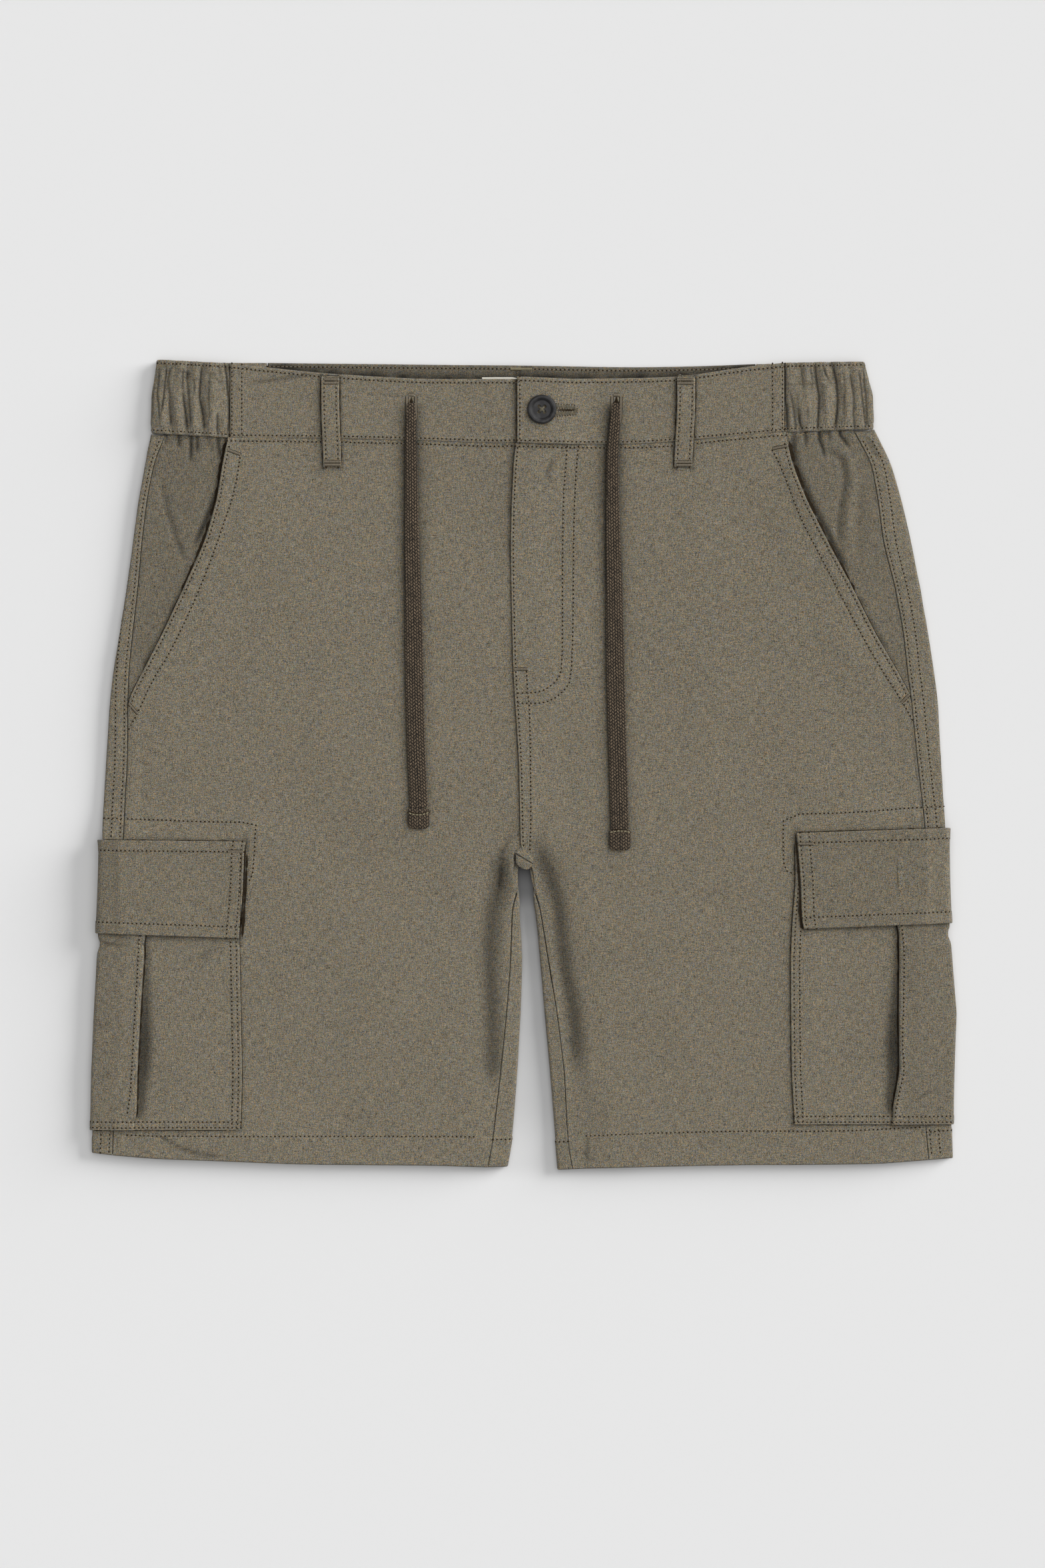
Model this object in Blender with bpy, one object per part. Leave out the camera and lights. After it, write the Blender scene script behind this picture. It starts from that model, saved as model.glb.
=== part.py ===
"""Men's cargo shorts in plain linen and cotton cloth, laid on their back on a flat surface.

The sizes below are millimetres, and the meshes are made in metres. X runs to the wearer's left (to the right as
seen from the front), Y runs up to the waist and Z is up. The origin is under the middle of the garment.

Each piece of cloth is a wall. It is worked out by sections: a section is the line that the cloth follows from one
of its edges to the other, and there is one section for each row of the piece. Both legs use the same functions.
A leg's own sizes are in its tables, where "out" is the distance from the garment's centre line towards that leg's
outer side. The cloth lies in this order from the surface up: flap, cargo pocket and back panel where they wrap
round the side, the space inside the leg, the front panels, the cargo pocket, its pleat and its flap.
"""

import math
from collections import namedtuple
from types import SimpleNamespace

import bmesh
import bpy
import numpy as np

MM = 0.001

# Cloth: the walls and the gap that stands for each seam
CLOTH = 1.1
BAND = 2.0
LOOP = 1.4
TAPE = 0.6
SEAM = 0.3
LAYER = CLOTH + SEAM
TIP_GAP = 0.5

# Heights of the upper layer's underside above the surface
FOLD_GAP = 1.3
FOLD_TOP = CLOTH + FOLD_GAP
BAND_FLOOR = 3.2
LABEL_FLOOR = BAND + SEAM
LOFT_LEG = 1.8
LOFT_HIP = 0.9
LOFT_FROM_Y, LOFT_TO_Y = 58.0, 0.0

# How far in from a folded edge the upper layer reaches its full height
SIDE_RISE = 45.0
INSIDE_LEG_RISE = 30.0

# The soft trough that runs down beside each inseam from the crotch
TROUGH_WIDTH = 9.0

# Folds are half circles of this many flat faces
FOLD_STEPS = 6

# Columns of a front panel, as shares of its width from its outer edge
FRONT_COLUMNS = (0.0, 0.03, 0.07, 0.12, 0.18, 0.26, 0.38, 0.52, 0.67, 0.8, 0.88, 0.93, 0.97, 1.0)

# Where the side's rows are read across, at the waist's end, the side fold and the flap's edges
SEAM_OUT, SIDE_OUT, FLAP_OUT, FLAP_INNER_OUT = 230.0, 250.0, 257.0, 170.0

# Rows of the leg's panels that no other size gives, from the waist seam to the hem
WAIST_ROW_Y, HEM_ROW_Y, ABOVE_HEM_ROW_Y = 197.0, -241.0, -231.0
LEVEL_ROWS_Y = (183.0, 160.0, 135.0, 108.0, 80.0, 58.0, 0.0, -150.0, -186.0)

# Steps of the centre back seam's edge, so that it has as many points as the fold round the inside leg
CENTRE_BACK_STEPS = (12.0, 10.0, 8.0, 6.0, 4.5, 3.0, 1.5, 0.0)

# Where the crotch lies, and the rows over which the cloth there becomes the inside of the leg
CROTCH_Y = -62.0
CROTCH_BLEND_FROM_Y, CROTCH_BLEND_TO_Y = -40.0, -68.0
CROTCH_TURN = 10.0
FRONT_CROTCH_Y = -52.0
CENTRE_BACK_X = 1.2

# Fly: the right front laps over the left one
FLY_UNDERLAP, SEAM_UNDERLAP, FLY_END_Y = 8.0, 3.0, 30.0
FLY_STEP_FLAT, FLY_STEP_RAMP = 9.0, 18.0
BAND_EDGE_X, BAND_UNDERLAP_X = -3.8, 20.0
BAND_STEP_FROM_X, BAND_STEP_TO_X = 22.0, 42.0

# Belt loop at the centre of the back: the layers above it are lifted by its thickness
BACK_LOOP_WIDTH, BACK_LOOP_TOP_Y, BACK_LOOP_BOTTOM_Y = 11.0, 241.0, 186.0
LOOP_LIFT_FLAT, LOOP_LIFT_RAMP = 8.0, 34.0
LOOP_LIFT_FROM_Y, LOOP_LIFT_TO_Y = 183.0, 150.0
LOOP_LIFT_COLUMNS = tuple(side * x for side in (-1, 1) for x in (0.1, 8.0, 16.0, 22.0, 28.0, 34.0, 42.0))
BACK_BAND_COLUMNS = (-110.0, -70.0, 70.0, 110.0)

# Slant pockets: how far the facing goes in under the front, and how the front settles past it
FACING_UNDERLAP = 14.0
MOUTH_SETTLE_FROM = 18.0
MOUTH_SETTLE = 25.0
MOUTH_FADE = 16.0

# Cargo pockets and flaps
WRAP_UNDER, WRAP_CLEAR = 34.0, 3.0
WRAP_RAMP = 12.0
FLAP_APPROACH = 18.0
HEM_APPROACH = 10.0
LINE_MARGIN = 1.0
PLEAT_DEPTH = 8.0
PLEAT_COVER = 12.0

# Gathered elastic
GATHER_SWELL, GATHER_END, GATHER_FLAT = 1.7, 7.0, 1.0
ELASTIC_LOW_Y, ELASTIC_TALL, ELASTIC_UNDER_OUT = 201.0, 44.0, 190.0

# Small hard parts and trims
LOOP_WIDTH = 11.0
BUTTON_X, BUTTON_Y, BUTTON_RADIUS = 11.3, 214.8, 8.9
BUTTON_HOLE_RADIUS, BUTTON_HOLE_OFFSET = 1.15, 1.65
BUTTON_SIDES = 28
CORD_WIDTH, CORD_THICKNESS = 10.5, 2.0
CORD_STEP = 24.0
TIP_WIDTH, TIP_LENGTH, TIP_THICKNESS, TIP_ROUND = 13.2, 12.4, 3.4, 1.2
LABEL_LEFT_X, LABEL_RIGHT_X, LABEL_TOP_Y, LABEL_BOTTOM_Y = -25.0, 28.2, 235.3, 206.0

Side = namedtuple("Side", "y edge seam")
Inside = namedtuple("Inside", "y edge seam")
Mouth = namedtuple("Mouth", "y out")
Across = namedtuple("Across", "out y")
BandSide = namedtuple("BandSide", "y out")
Patch = namedtuple("Patch", "y inner")
Pleat = namedtuple("Pleat", "y out")
Trough = namedtuple("Trough", "y out depth")
Gather = namedtuple("Gather", "share depth width")
Fly = namedtuple("Fly", "y x")
LoopPoint = namedtuple("LoopPoint", "y height")
Turned = namedtuple("Turned", "radius height")

LEFT = SimpleNamespace(
    name="left",
    sign=-1,
    side=[
        Side(203, 224.4, 215.5),
        Side(197, 226.5, 218.0),
        Side(181, 229.0, 224.3),
        Side(161, 232.8, 227.7),
        Side(145, 235.2, 230.4),
        Side(122, 237.6, 231.5),
        Side(93, 242.0, 235.0),
        Side(60, 247.8, 238.6),
        Side(38, 250.3, 239.4),
        Side(6, 252.2, 239.2),
        Side(-17, 253.9, 241.0),
        Side(-44.3, 254.8, 241.8),
        Side(-52, 253.9, 242.4),
        Side(-104, 256.0, 243.8),
        Side(-150, 258.5, 245.4),
        Side(-186, 260.1, 246.6),
        Side(-210, 260.7, 247.4),
        Side(-236, 260.9, 248.6),
    ],
    inside=[
        Inside(-62, 4.4, 6.8),
        Inside(-85, 2.8, 6.0),
        Inside(-110, 0.6, 7.4),
        Inside(-126, 0.6, 8.0),
        Inside(-174, 2.4, 12.1),
        Inside(-204, 5.2, 16.0),
        Inside(-227, 6.6, 18.4),
        Inside(-244, 10.5, 22.2),
    ],
    trough=[
        Trough(-52, 12.5, 0.0),
        Trough(-62, 16.0, 1.2),
        Trough(-74, 18.0, 1.1),
        Trough(-110, 21.0, 0.8),
        Trough(-150, 22.5, 0.4),
        Trough(-190, 26.0, 0.0),
    ],
    mouth=[
        Mouth(199, 178.3),
        Mouth(184, 181.6),
        Mouth(163, 184.4),
        Mouth(147, 189.4),
        Mouth(128, 194.8),
        Mouth(112, 203.4),
        Mouth(98, 209.0),
        Mouth(77, 219.6),
        Mouth(58, 229.4),
        Mouth(39, 239.3),
    ],
    waist_seam=[
        Across(-20, 194.9),
        Across(4, 194.9),
        Across(16, 194.5),
        Across(66, 196.3),
        Across(122, 197.5),
        Across(177, 197.9),
        Across(224, 200.6),
    ],
    band_top=[
        Across(-20, 233.4),
        Across(66, 233.7),
        Across(121, 237.0),
        Across(151, 240.2),
        Across(177, 243.0),
        Across(221, 245.4),
    ],
    band_side=[BandSide(246, 221.2), BandSide(221, 225.2), BandSide(203, 225.2), BandSide(200, 224.4)],
    hem=[
        Across(10, -243.4),
        Across(22, -243.8),
        Across(54, -242.7),
        Across(131, -242.2),
        Across(180, -240.2),
        Across(224, -238.6),
        Across(248, -236.6),
        Across(261, -235.0),
    ],
    elastic_front=177.3,
    elastic_back=155.0,
    gathers=[
        Gather(0.15, 1.2, 2.4),
        Gather(0.38, 1.9, 3.0),
        Gather(0.59, 1.6, 2.6),
        Gather(0.79, 1.8, 2.6),
    ],
    mouth_end=39.0,
    flap_top=[Across(167, -46.3), Across(258, -45.2)],
    flap_bottom=[Across(167, -105.0), Across(258, -101.8)],
    flap_inner=[Patch(-46, 167.6), Patch(-54, 169.2), Patch(-75, 169.4), Patch(-105, 172.0)],
    pocket_top=-52.0,
    pocket_bottom=-221.0,
    pocket_inner=[
        Patch(-52, 170.4),
        Patch(-105, 171.6),
        Patch(-150, 170.7),
        Patch(-195, 169.8),
        Patch(-221, 170.8),
    ],
    pleat=[
        Pleat(-52, 228.0),
        Pleat(-104, 229.4),
        Pleat(-150, 232.5),
        Pleat(-186, 234.3),
        Pleat(-210, 237.0),
        Pleat(-221, 235.0),
    ],
    loop_x=-115.5,
)

RIGHT = SimpleNamespace(
    name="right",
    sign=1,
    side=[
        Side(205, 211.6, 199.0),
        Side(195, 216.8, 203.3),
        Side(186, 221.5, 209.6),
        Side(180, 223.8, 211.8),
        Side(155, 230.6, 215.6),
        Side(134, 235.2, 218.0),
        Side(116, 238.7, 223.0),
        Side(95, 242.6, 228.1),
        Side(74, 246.3, 230.9),
        Side(52, 249.4, 232.9),
        Side(39, 251.2, 235.0),
        Side(11, 252.4, 237.4),
        Side(-14, 254.0, 240.6),
        Side(-37.3, 255.6, 243.0),
        Side(-52, 254.9, 243.4),
        Side(-98, 256.8, 243.8),
        Side(-133, 259.7, 244.2),
        Side(-150, 261.0, 244.4),
        Side(-189, 259.6, 244.2),
        Side(-217, 259.1, 243.2),
        Side(-239, 259.9, 245.4),
    ],
    inside=[
        Inside(-62, 3.2, 5.8),
        Inside(-77, 6.2, 8.9),
        Inside(-94, 8.1, 11.3),
        Inside(-119, 10.3, 15.3),
        Inside(-142, 12.2, 19.2),
        Inside(-174, 15.3, 24.3),
        Inside(-209, 18.1, 26.0),
        Inside(-228, 19.7, 26.9),
        Inside(-245, 21.6, 31.0),
    ],
    trough=[
        Trough(-52, 11.5, 0.0),
        Trough(-62, 14.5, 1.1),
        Trough(-94, 22.3, 1.3),
        Trough(-117, 24.6, 1.2),
        Trough(-150, 27.4, 1.1),
        Trough(-171, 30.2, 1.0),
        Trough(-200, 34.9, 0.9),
        Trough(-216, 35.0, 0.8),
        Trough(-240, 39.0, 0.6),
    ],
    mouth=[
        Mouth(200, 158.6),
        Mouth(181, 162.8),
        Mouth(172, 167.2),
        Mouth(158, 172.2),
        Mouth(142, 180.1),
        Mouth(118, 194.5),
        Mouth(90, 206.8),
        Mouth(72, 217.6),
        Mouth(47, 232.1),
        Mouth(42, 234.6),
    ],
    waist_seam=[
        Across(-5, 194.6),
        Across(30, 193.8),
        Across(73, 193.9),
        Across(96, 195.3),
        Across(116, 197.8),
        Across(158, 201.4),
        Across(212, 203.1),
    ],
    band_top=[
        Across(-5, 234.9),
        Across(28, 233.6),
        Across(87, 234.5),
        Across(104, 236.2),
        Across(124, 239.4),
        Across(141, 241.8),
        Across(158, 243.4),
        Across(207, 244.2),
    ],
    band_side=[BandSide(245, 206.2), BandSide(227, 211.2), BandSide(209, 212.3), BandSide(203, 211.6)],
    hem=[
        Across(21, -245.4),
        Across(34, -244.7),
        Across(66, -243.8),
        Across(135, -242.2),
        Across(194, -242.4),
        Across(220, -241.3),
        Across(245, -239.4),
        Across(260, -238.2),
    ],
    elastic_front=158.0,
    elastic_back=141.0,
    gathers=[
        Gather(0.16, 1.7, 2.6),
        Gather(0.38, 1.6, 3.0),
        Gather(0.60, 1.9, 2.8),
        Gather(0.83, 1.4, 2.4),
    ],
    mouth_end=42.0,
    flap_top=[Across(165, -41.0), Across(258, -38.0)],
    flap_bottom=[Across(169, -99.2), Across(259, -95.6)],
    flap_inner=[Patch(-41, 165.2), Patch(-75, 168.1), Patch(-97, 168.5), Patch(-99, 169.7)],
    pocket_top=-47.0,
    pocket_bottom=-217.6,
    pocket_inner=[
        Patch(-47, 164.4),
        Patch(-71, 164.6),
        Patch(-91, 162.8),
        Patch(-118, 161.6),
        Patch(-168, 162.0),
        Patch(-201, 162.5),
        Patch(-217, 164.0),
    ],
    pleat=[
        Pleat(-47, 226.4),
        Pleat(-97, 227.1),
        Pleat(-110, 228.5),
        Pleat(-150, 228.1),
        Pleat(-168, 227.4),
        Pleat(-185, 228.6),
        Pleat(-198, 225.8),
        Pleat(-217, 222.6),
    ],
    loop_x=97.6,
)

FLY = [
    Fly(196, -4.6),
    Fly(181, -6.0),
    Fly(145, -7.7),
    Fly(129, -7.7),
    Fly(62, -6.4),
    Fly(29, -4.4),
    Fly(11, -2.8),
    Fly(-52, -1.6),
]

# Top edge and lower seam of the back of the waistband, by x
BACK_BAND_TOP = [
    Across(-177, 243.8),
    Across(-66, 242.6),
    Across(4, 241.8),
    Across(87, 240.6),
    Across(114, 241.8),
    Across(158, 243.6),
]
BACK_BAND_SEAM = [
    Across(-224, 200.6),
    Across(-150, 201.0),
    Across(0, 202.5),
    Across(150, 202.0),
    Across(212, 203.1),
]

# A front belt loop, from its tacked top, over the waistband, to its tacked lower end
FRONT_LOOP = [
    LoopPoint(236.6, 5.6),
    LoopPoint(232.0, 6.3),
    LoopPoint(222.0, 6.9),
    LoopPoint(208.0, 6.9),
    LoopPoint(198.0, 6.2),
    LoopPoint(192.5, 5.6),
    LoopPoint(186.0, 4.9),
    LoopPoint(180.0, 4.8),
]

# Outline of the button from the middle of its underside, round the rim, to the middle of its recess
BUTTON = [
    Turned(0.0, 0.0),
    Turned(8.0, 0.0),
    Turned(8.7, 0.5),
    Turned(8.9, 1.2),
    Turned(8.6, 2.1),
    Turned(7.9, 2.6),
    Turned(7.0, 2.6),
    Turned(6.2, 2.2),
    Turned(5.4, 1.6),
    Turned(0.0, 1.5),
]

# Routes of the drawcords' middles: x, y and height, from the slit in the waistband to the folded end
LEFT_CORD = [
    (-67.7, 218.8, 6.60),
    (-67.8, 206.0, 6.60),
    (-67.8, 196.0, 6.60),
    (-67.7, 186.0, 6.25),
    (-67.6, 176.0, 5.90),
    (-67.4, 150.0, 5.85),
    (-67.0, 125.0, 5.85),
    (-66.5, 100.0, 5.85),
    (-66.0, 75.0, 5.85),
    (-65.7, 55.0, 6.10),
    (-65.4, 40.0, 6.40),
    (-64.9, 20.0, 6.75),
    (-64.2, 0.0, 6.75),
    (-63.5, -14.0, 6.75),
    (-63.1, -25.7, 6.75),
]
RIGHT_CORD = [
    (56.4, 218.8, 6.60),
    (55.6, 208.0, 6.60),
    (54.6, 197.0, 6.60),
    (54.1, 187.0, 6.25),
    (54.0, 177.0, 5.90),
    (54.3, 150.0, 5.85),
    (54.8, 125.0, 5.85),
    (55.2, 100.0, 5.85),
    (55.6, 75.0, 5.85),
    (56.0, 55.0, 6.10),
    (56.4, 38.0, 6.45),
    (56.9, 18.0, 6.75),
    (57.5, 0.0, 6.75),
    (58.0, -20.0, 6.75),
    (58.5, -38.7, 6.75),
]


# Reading the tables


def read(table, column, at):
    """A column of a table, between its rows, at a value of the table's own measure: y, or out."""
    measure = "out" if table[0]._fields[0] == "out" else "y"
    rows = sorted(table, key=lambda row: getattr(row, measure))
    places = [getattr(row, measure) for row in rows]
    values = [getattr(row, column) for row in rows]
    return float(np.interp(at, places, values))


def smooth(share):
    """0 below 0, 1 above 1 and a soft step between."""
    share = min(max(share, 0.0), 1.0)
    return share * share * (3 - 2 * share)


def ramp(value, start, end):
    """0 at start, 1 at end and straight between, whichever of the two is larger."""
    return min(max((value - start) / (end - start), 0.0), 1.0)


# Heights of the layers


def centre_lift(x, y):
    """How far the belt loop under the centre of the back lifts everything above it."""
    beside = 1 - smooth((abs(x) - LOOP_LIFT_FLAT) / LOOP_LIFT_RAMP)
    return (LOOP + SEAM) * beside * ramp(y, LOOP_LIFT_TO_Y, LOOP_LIFT_FROM_Y)


def flap_lines(leg):
    """The rows between which the flap at the side lifts what lies on it by its whole thickness."""
    top = read(leg.flap_top, "y", SIDE_OUT) + LINE_MARGIN
    bottom = read(leg.flap_bottom, "y", SIDE_OUT) - 2 * LINE_MARGIN
    return top, bottom


def flap_under(leg, y):
    """1 where a flap lies under the pocket's wrapped part, 0 where none does."""
    top, bottom = flap_lines(leg)
    return min(ramp(y, bottom - FLAP_APPROACH, bottom), ramp(y, top + FLAP_APPROACH, top))


def pocket_under(leg, y):
    """1 where a pocket lies under the back panel, 0 where none does."""
    top, _ = flap_lines(leg)
    bottom = leg.pocket_bottom - LINE_MARGIN
    return min(ramp(y, bottom - HEM_APPROACH, bottom), ramp(y, top + FLAP_APPROACH, top))


def side_lift(leg, y):
    """Height of the back panel's underside at the side, where the flap and the pocket pass under it."""
    return LAYER * (flap_under(leg, y) + pocket_under(leg, y))


def inside_share(y):
    """0 above the crotch and 1 where the inside of the leg begins."""
    return ramp(y, CROTCH_BLEND_FROM_Y, CROTCH_BLEND_TO_Y)


def upper_floor(leg, out, y):
    """Height of the upper layer's underside: low at the folded edges, and lofted in the middle of the leg."""
    from_side = smooth((read(leg.side, "edge", y) - out) / SIDE_RISE)
    from_inside = smooth((out - read(leg.inside, "edge", y)) / INSIDE_LEG_RISE)
    inner_rise = 1 + inside_share(y) * (from_inside - 1)
    loft = LOFT_HIP + (LOFT_LEG - LOFT_HIP) * ramp(y, LOFT_FROM_Y, LOFT_TO_Y)
    height = FOLD_TOP + loft * min(from_side, inner_rise) + centre_lift(out, y)
    return height + side_lift(leg, y) * (1 - from_side)


def mouth_step(leg, out, y):
    """How far the front stands above its own level to pass over the hip facing at the pocket mouth."""
    past_facing = read(leg.mouth, "out", y) - out - MOUTH_SETTLE_FROM
    along = ramp(y, leg.mouth_end - MOUTH_FADE, leg.mouth_end)
    return LAYER * along * (1 - smooth(past_facing / MOUTH_SETTLE))


def fly_step(leg, out, y):
    """How far the right front stands above its own level to pass over the left one."""
    if leg.sign < 0:
        return 0.0
    past_edge = out - read(FLY, "x", y)
    along = ramp(y, CROTCH_Y - 2, FRONT_CROTCH_Y)
    return LAYER * along * (1 - smooth((past_edge - FLY_STEP_FLAT) / FLY_STEP_RAMP))


def trough(leg, out, y):
    """Depth of the soft trough beside the inseam. It fades out at the seam, which holds the cloth up."""
    beside = (out - read(leg.trough, "out", y)) / TROUGH_WIDTH
    held = smooth((out - read(leg.inside, "seam", y)) / TROUGH_WIDTH)
    return read(leg.trough, "depth", y) * math.exp(-(beside * beside)) * held


def front_floor(leg, out, y):
    return upper_floor(leg, out, y) + mouth_step(leg, out, y) + fly_step(leg, out, y) - trough(leg, out, y)


def pleat_rise(leg, out, y):
    """Height of the pocket's outer layer over its lowest one: two layers at the pleat, none at the side."""
    fold = read(leg.pleat, "out", y)
    side = read(leg.side, "edge", y) - CLOTH
    return 2 * LAYER * (1 - ramp(out, fold + PLEAT_DEPTH + 2, side))


# Rows and outlines


def leg_rows(leg):
    """The rows of a leg's panels: y, and the shares of the waist seam's slant and the hem's slant in each."""
    flap_top, flap_bottom = flap_lines(leg)
    level = [*LEVEL_ROWS_Y, leg.pocket_bottom - LINE_MARGIN]
    level += [leg.mouth_end, leg.mouth_end - MOUTH_FADE / 2, leg.mouth_end - MOUTH_FADE]
    level += [flap_top + FLAP_APPROACH, flap_top]
    level += [flap_bottom, flap_bottom - FLAP_APPROACH / 2, flap_bottom - FLAP_APPROACH]
    level += [FRONT_CROTCH_Y, CROTCH_Y, CROTCH_Y - CROTCH_TURN / 2, CROTCH_Y - CROTCH_TURN]
    middle = [(y, 0.0, 0.0) for y in sorted(level, reverse=True)]
    return [(WAIST_ROW_Y, 1.0, 0.0), *middle, (ABOVE_HEM_ROW_Y, 0.0, 0.5), (HEM_ROW_Y, 0.0, 1.0)]


def row_y(leg, row, out, under=False):
    """The height up the garment of a row's point. Only the first row follows the waist seam, and the last the hem."""
    y, at_waist, at_hem = row
    seam = read(BACK_BAND_SEAM, "y", leg.sign * out) if under else read(leg.waist_seam, "y", out)
    waist = seam - SEAM - y
    hem = read(leg.hem, "y", out) - HEM_ROW_Y
    return y + at_waist * waist + at_hem * hem


def half_circle(centre_out, centre_z, radius, start, turn):
    """Points of a fold, from an angle in degrees over a turn in degrees, both seen along the garment's length."""
    points = []
    for step in range(FOLD_STEPS + 1):
        angle = math.radians(start + turn * step / FOLD_STEPS)
        points.append((centre_out + radius * math.cos(angle), centre_z + radius * math.sin(angle)))
    return points


# From sections to solids


def offset(line, distance):
    """A line moved sideways in its own plane, with mitred corners, so that a wall keeps its thickness."""
    points = np.array(line, float)
    along = np.diff(points, axis=0)
    along /= np.linalg.norm(along, axis=1)[:, None]
    before = np.vstack([along[:1], along])
    after = np.vstack([along, along[-1:]])
    normal_before = np.stack([-before[:, 1], before[:, 0]], axis=1)
    normal_after = np.stack([-after[:, 1], after[:, 0]], axis=1)
    meet = 1 + (normal_before * normal_after).sum(axis=1)[:, None]
    return points + distance * (normal_before + normal_after) / meet


def cloth(name, sections, thickness, material, axis=0):
    """A closed wall round the middle surface that the sections draw. Each is offset in the plane of its axis and Z."""
    plane = [axis, 2]
    sheets = []
    for share in (0.5, -0.5):
        sheet = []
        for section in sections:
            points = np.array(section, float)
            points[:, plane] = offset(points[:, plane], share * thickness)
            sheet.append(points)
        sheets.append(np.array(sheet))
    rows, columns = len(sections), len(sections[0])
    points = np.concatenate([sheet.reshape(-1, 3) for sheet in sheets])
    count = rows * columns
    faces = []
    for row in range(rows - 1):
        for column in range(columns - 1):
            a = row * columns + column
            quad = (a, a + 1, a + columns + 1, a + columns)
            faces.append(quad)
            faces.append(tuple(corner + count for corner in reversed(quad)))
    for edge in rim(rows, columns):
        for a, b in zip(edge, edge[1:]):
            faces.append((b, a, a + count, b + count))
    return solid(name, points, faces, material)


def rim(rows, columns):
    """The four edges of a grid, each as a run of point numbers, all the same way round."""
    last = (rows - 1) * columns
    yield list(range(columns))
    yield [row * columns + columns - 1 for row in range(rows)]
    yield [last + column for column in reversed(range(columns))]
    yield [row * columns for row in reversed(range(rows))]


def solid(name, points, faces, material):
    mesh = bpy.data.meshes.new(name)
    mesh.from_pydata([tuple(MM * value for value in point) for point in points], [], faces)
    edited = bmesh.new()
    edited.from_mesh(mesh)
    bmesh.ops.recalc_face_normals(edited, faces=edited.faces)
    edited.to_mesh(mesh)
    edited.free()
    return place(name, mesh, material)


def place(name, data, material):
    piece = bpy.data.objects.new(name, data)
    data.materials.append(material)
    bpy.context.collection.objects.link(piece)
    return piece


def finish(name, srgb, roughness, metallic=0.0):
    material = bpy.data.materials.new(name)
    material.use_nodes = True
    shader = material.node_tree.nodes["Principled BSDF"]
    linear = [((value / 255 + 0.055) / 1.055) ** 2.4 for value in srgb]
    shader.inputs["Base Color"].default_value = (*linear, 1.0)
    shader.inputs["Roughness"].default_value = roughness
    shader.inputs["Metallic"].default_value = metallic
    return material


# Leg panels


def side_fold(leg, y, layers_out):
    """A fold round the side, some layers outside the back panel's own: its points, from the top to the underside."""
    radius = (CLOTH + FOLD_GAP) / 2
    centre_out = read(leg.side, "edge", y) - radius - CLOTH / 2
    centre_z = side_lift(leg, y) + CLOTH / 2 + radius
    return half_circle(centre_out, centre_z, radius + layers_out * LAYER, 90, -180)


def inside_fold(leg, y):
    """The end of a back section: the fold round the inside of the leg and the strip up to the inseam.

    Above the crotch the same points lie flat, up to the centre back seam."""
    turned = ramp(y, CROTCH_Y, CROTCH_Y - CROTCH_TURN)
    edge = read(leg.inside, "edge", y)
    if turned == 0:
        end = leg.sign * CENTRE_BACK_X + SEAM / 2 if y > CROTCH_Y + 1 else edge
        lift = centre_lift(0, y)
        return [(end + step, CLOTH / 2 + lift) for step in CENTRE_BACK_STEPS]
    radius = (CLOTH + FOLD_GAP) / 2
    centre_out = edge + CLOTH / 2 + radius
    arc = half_circle(centre_out, CLOTH / 2 + radius, radius, 270, -180 * turned)
    if turned < 1:
        ahead_out, ahead_z = arc[-1][0] - arc[-2][0], arc[-1][1] - arc[-2][1]
        return [*arc, (arc[-1][0] + ahead_out, arc[-1][1] + ahead_z)]
    seam = read(leg.inside, "seam", y) - SEAM / 2
    return [*arc, (seam, upper_floor(leg, seam, y) + CLOTH / 2)]


def back_section(leg, row):
    """From the side seam on top, round the side, along the surface and up the inside of the leg."""
    side_y = row_y(leg, row, SIDE_OUT)
    seam = read(leg.side, "seam", side_y) + SEAM / 2
    fold = side_fold(leg, side_y, 0)
    strip = [(out, upper_floor(leg, out, side_y) + CLOTH / 2) for out in (seam, (seam + fold[0][0]) / 2)]
    lift = side_lift(leg, side_y)
    wrap_end = read(leg.side, "edge", side_y) - WRAP_UNDER - WRAP_CLEAR
    inner = inside_fold(leg, row[0])
    rest_from = wrap_end - WRAP_RAMP
    under = [(wrap_end, lift), (wrap_end - WRAP_RAMP / 2, lift / 2)]
    for share in (0.0, 0.25, 0.5, 0.7, 0.85):
        out = rest_from + share * (inner[0][0] - rest_from)
        under.append((out, centre_lift(out, row[0])))
    below = [(out, height + CLOTH / 2) for out, height in under]
    line = [(out, z, False) for out, z in strip + fold] + [(out, z, True) for out, z in below + inner]
    return [(leg.sign * out, row_y(leg, row, out, is_under), z) for out, z, is_under in line]


def front_inner(leg, y):
    """Where a front ends towards the centre: under or over the fly, and at the inseam below the crotch."""
    lap = FLY_UNDERLAP if y > FLY_END_Y else SEAM_UNDERLAP * ramp(y, FRONT_CROTCH_Y, FRONT_CROTCH_Y + 7)
    at_fly = leg.sign * read(FLY, "x", y) - (lap if leg.sign < 0 else 0)
    at_inseam = read(leg.inside, "seam", y) + SEAM / 2
    return at_fly + ramp(y, FRONT_CROTCH_Y, CROTCH_Y) * (at_inseam - at_fly)


def front_outer(leg, y):
    """Where a front ends towards the side: at the pocket mouth, and at the side seam below it."""
    if y >= leg.mouth_end:
        return read(leg.mouth, "out", y)
    return read(leg.side, "seam", y) - SEAM / 2


def front_section(leg, row):
    """From the pocket mouth or the side seam to the fly or the inseam."""
    outer = front_outer(leg, row_y(leg, row, front_outer(leg, row[0])))
    inner = front_inner(leg, row[0])
    section = []
    for share in FRONT_COLUMNS:
        out = outer + share * (inner - outer)
        y = row_y(leg, row, out)
        section.append((leg.sign * out, y, front_floor(leg, out, y) + CLOTH / 2))
    return section


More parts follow.
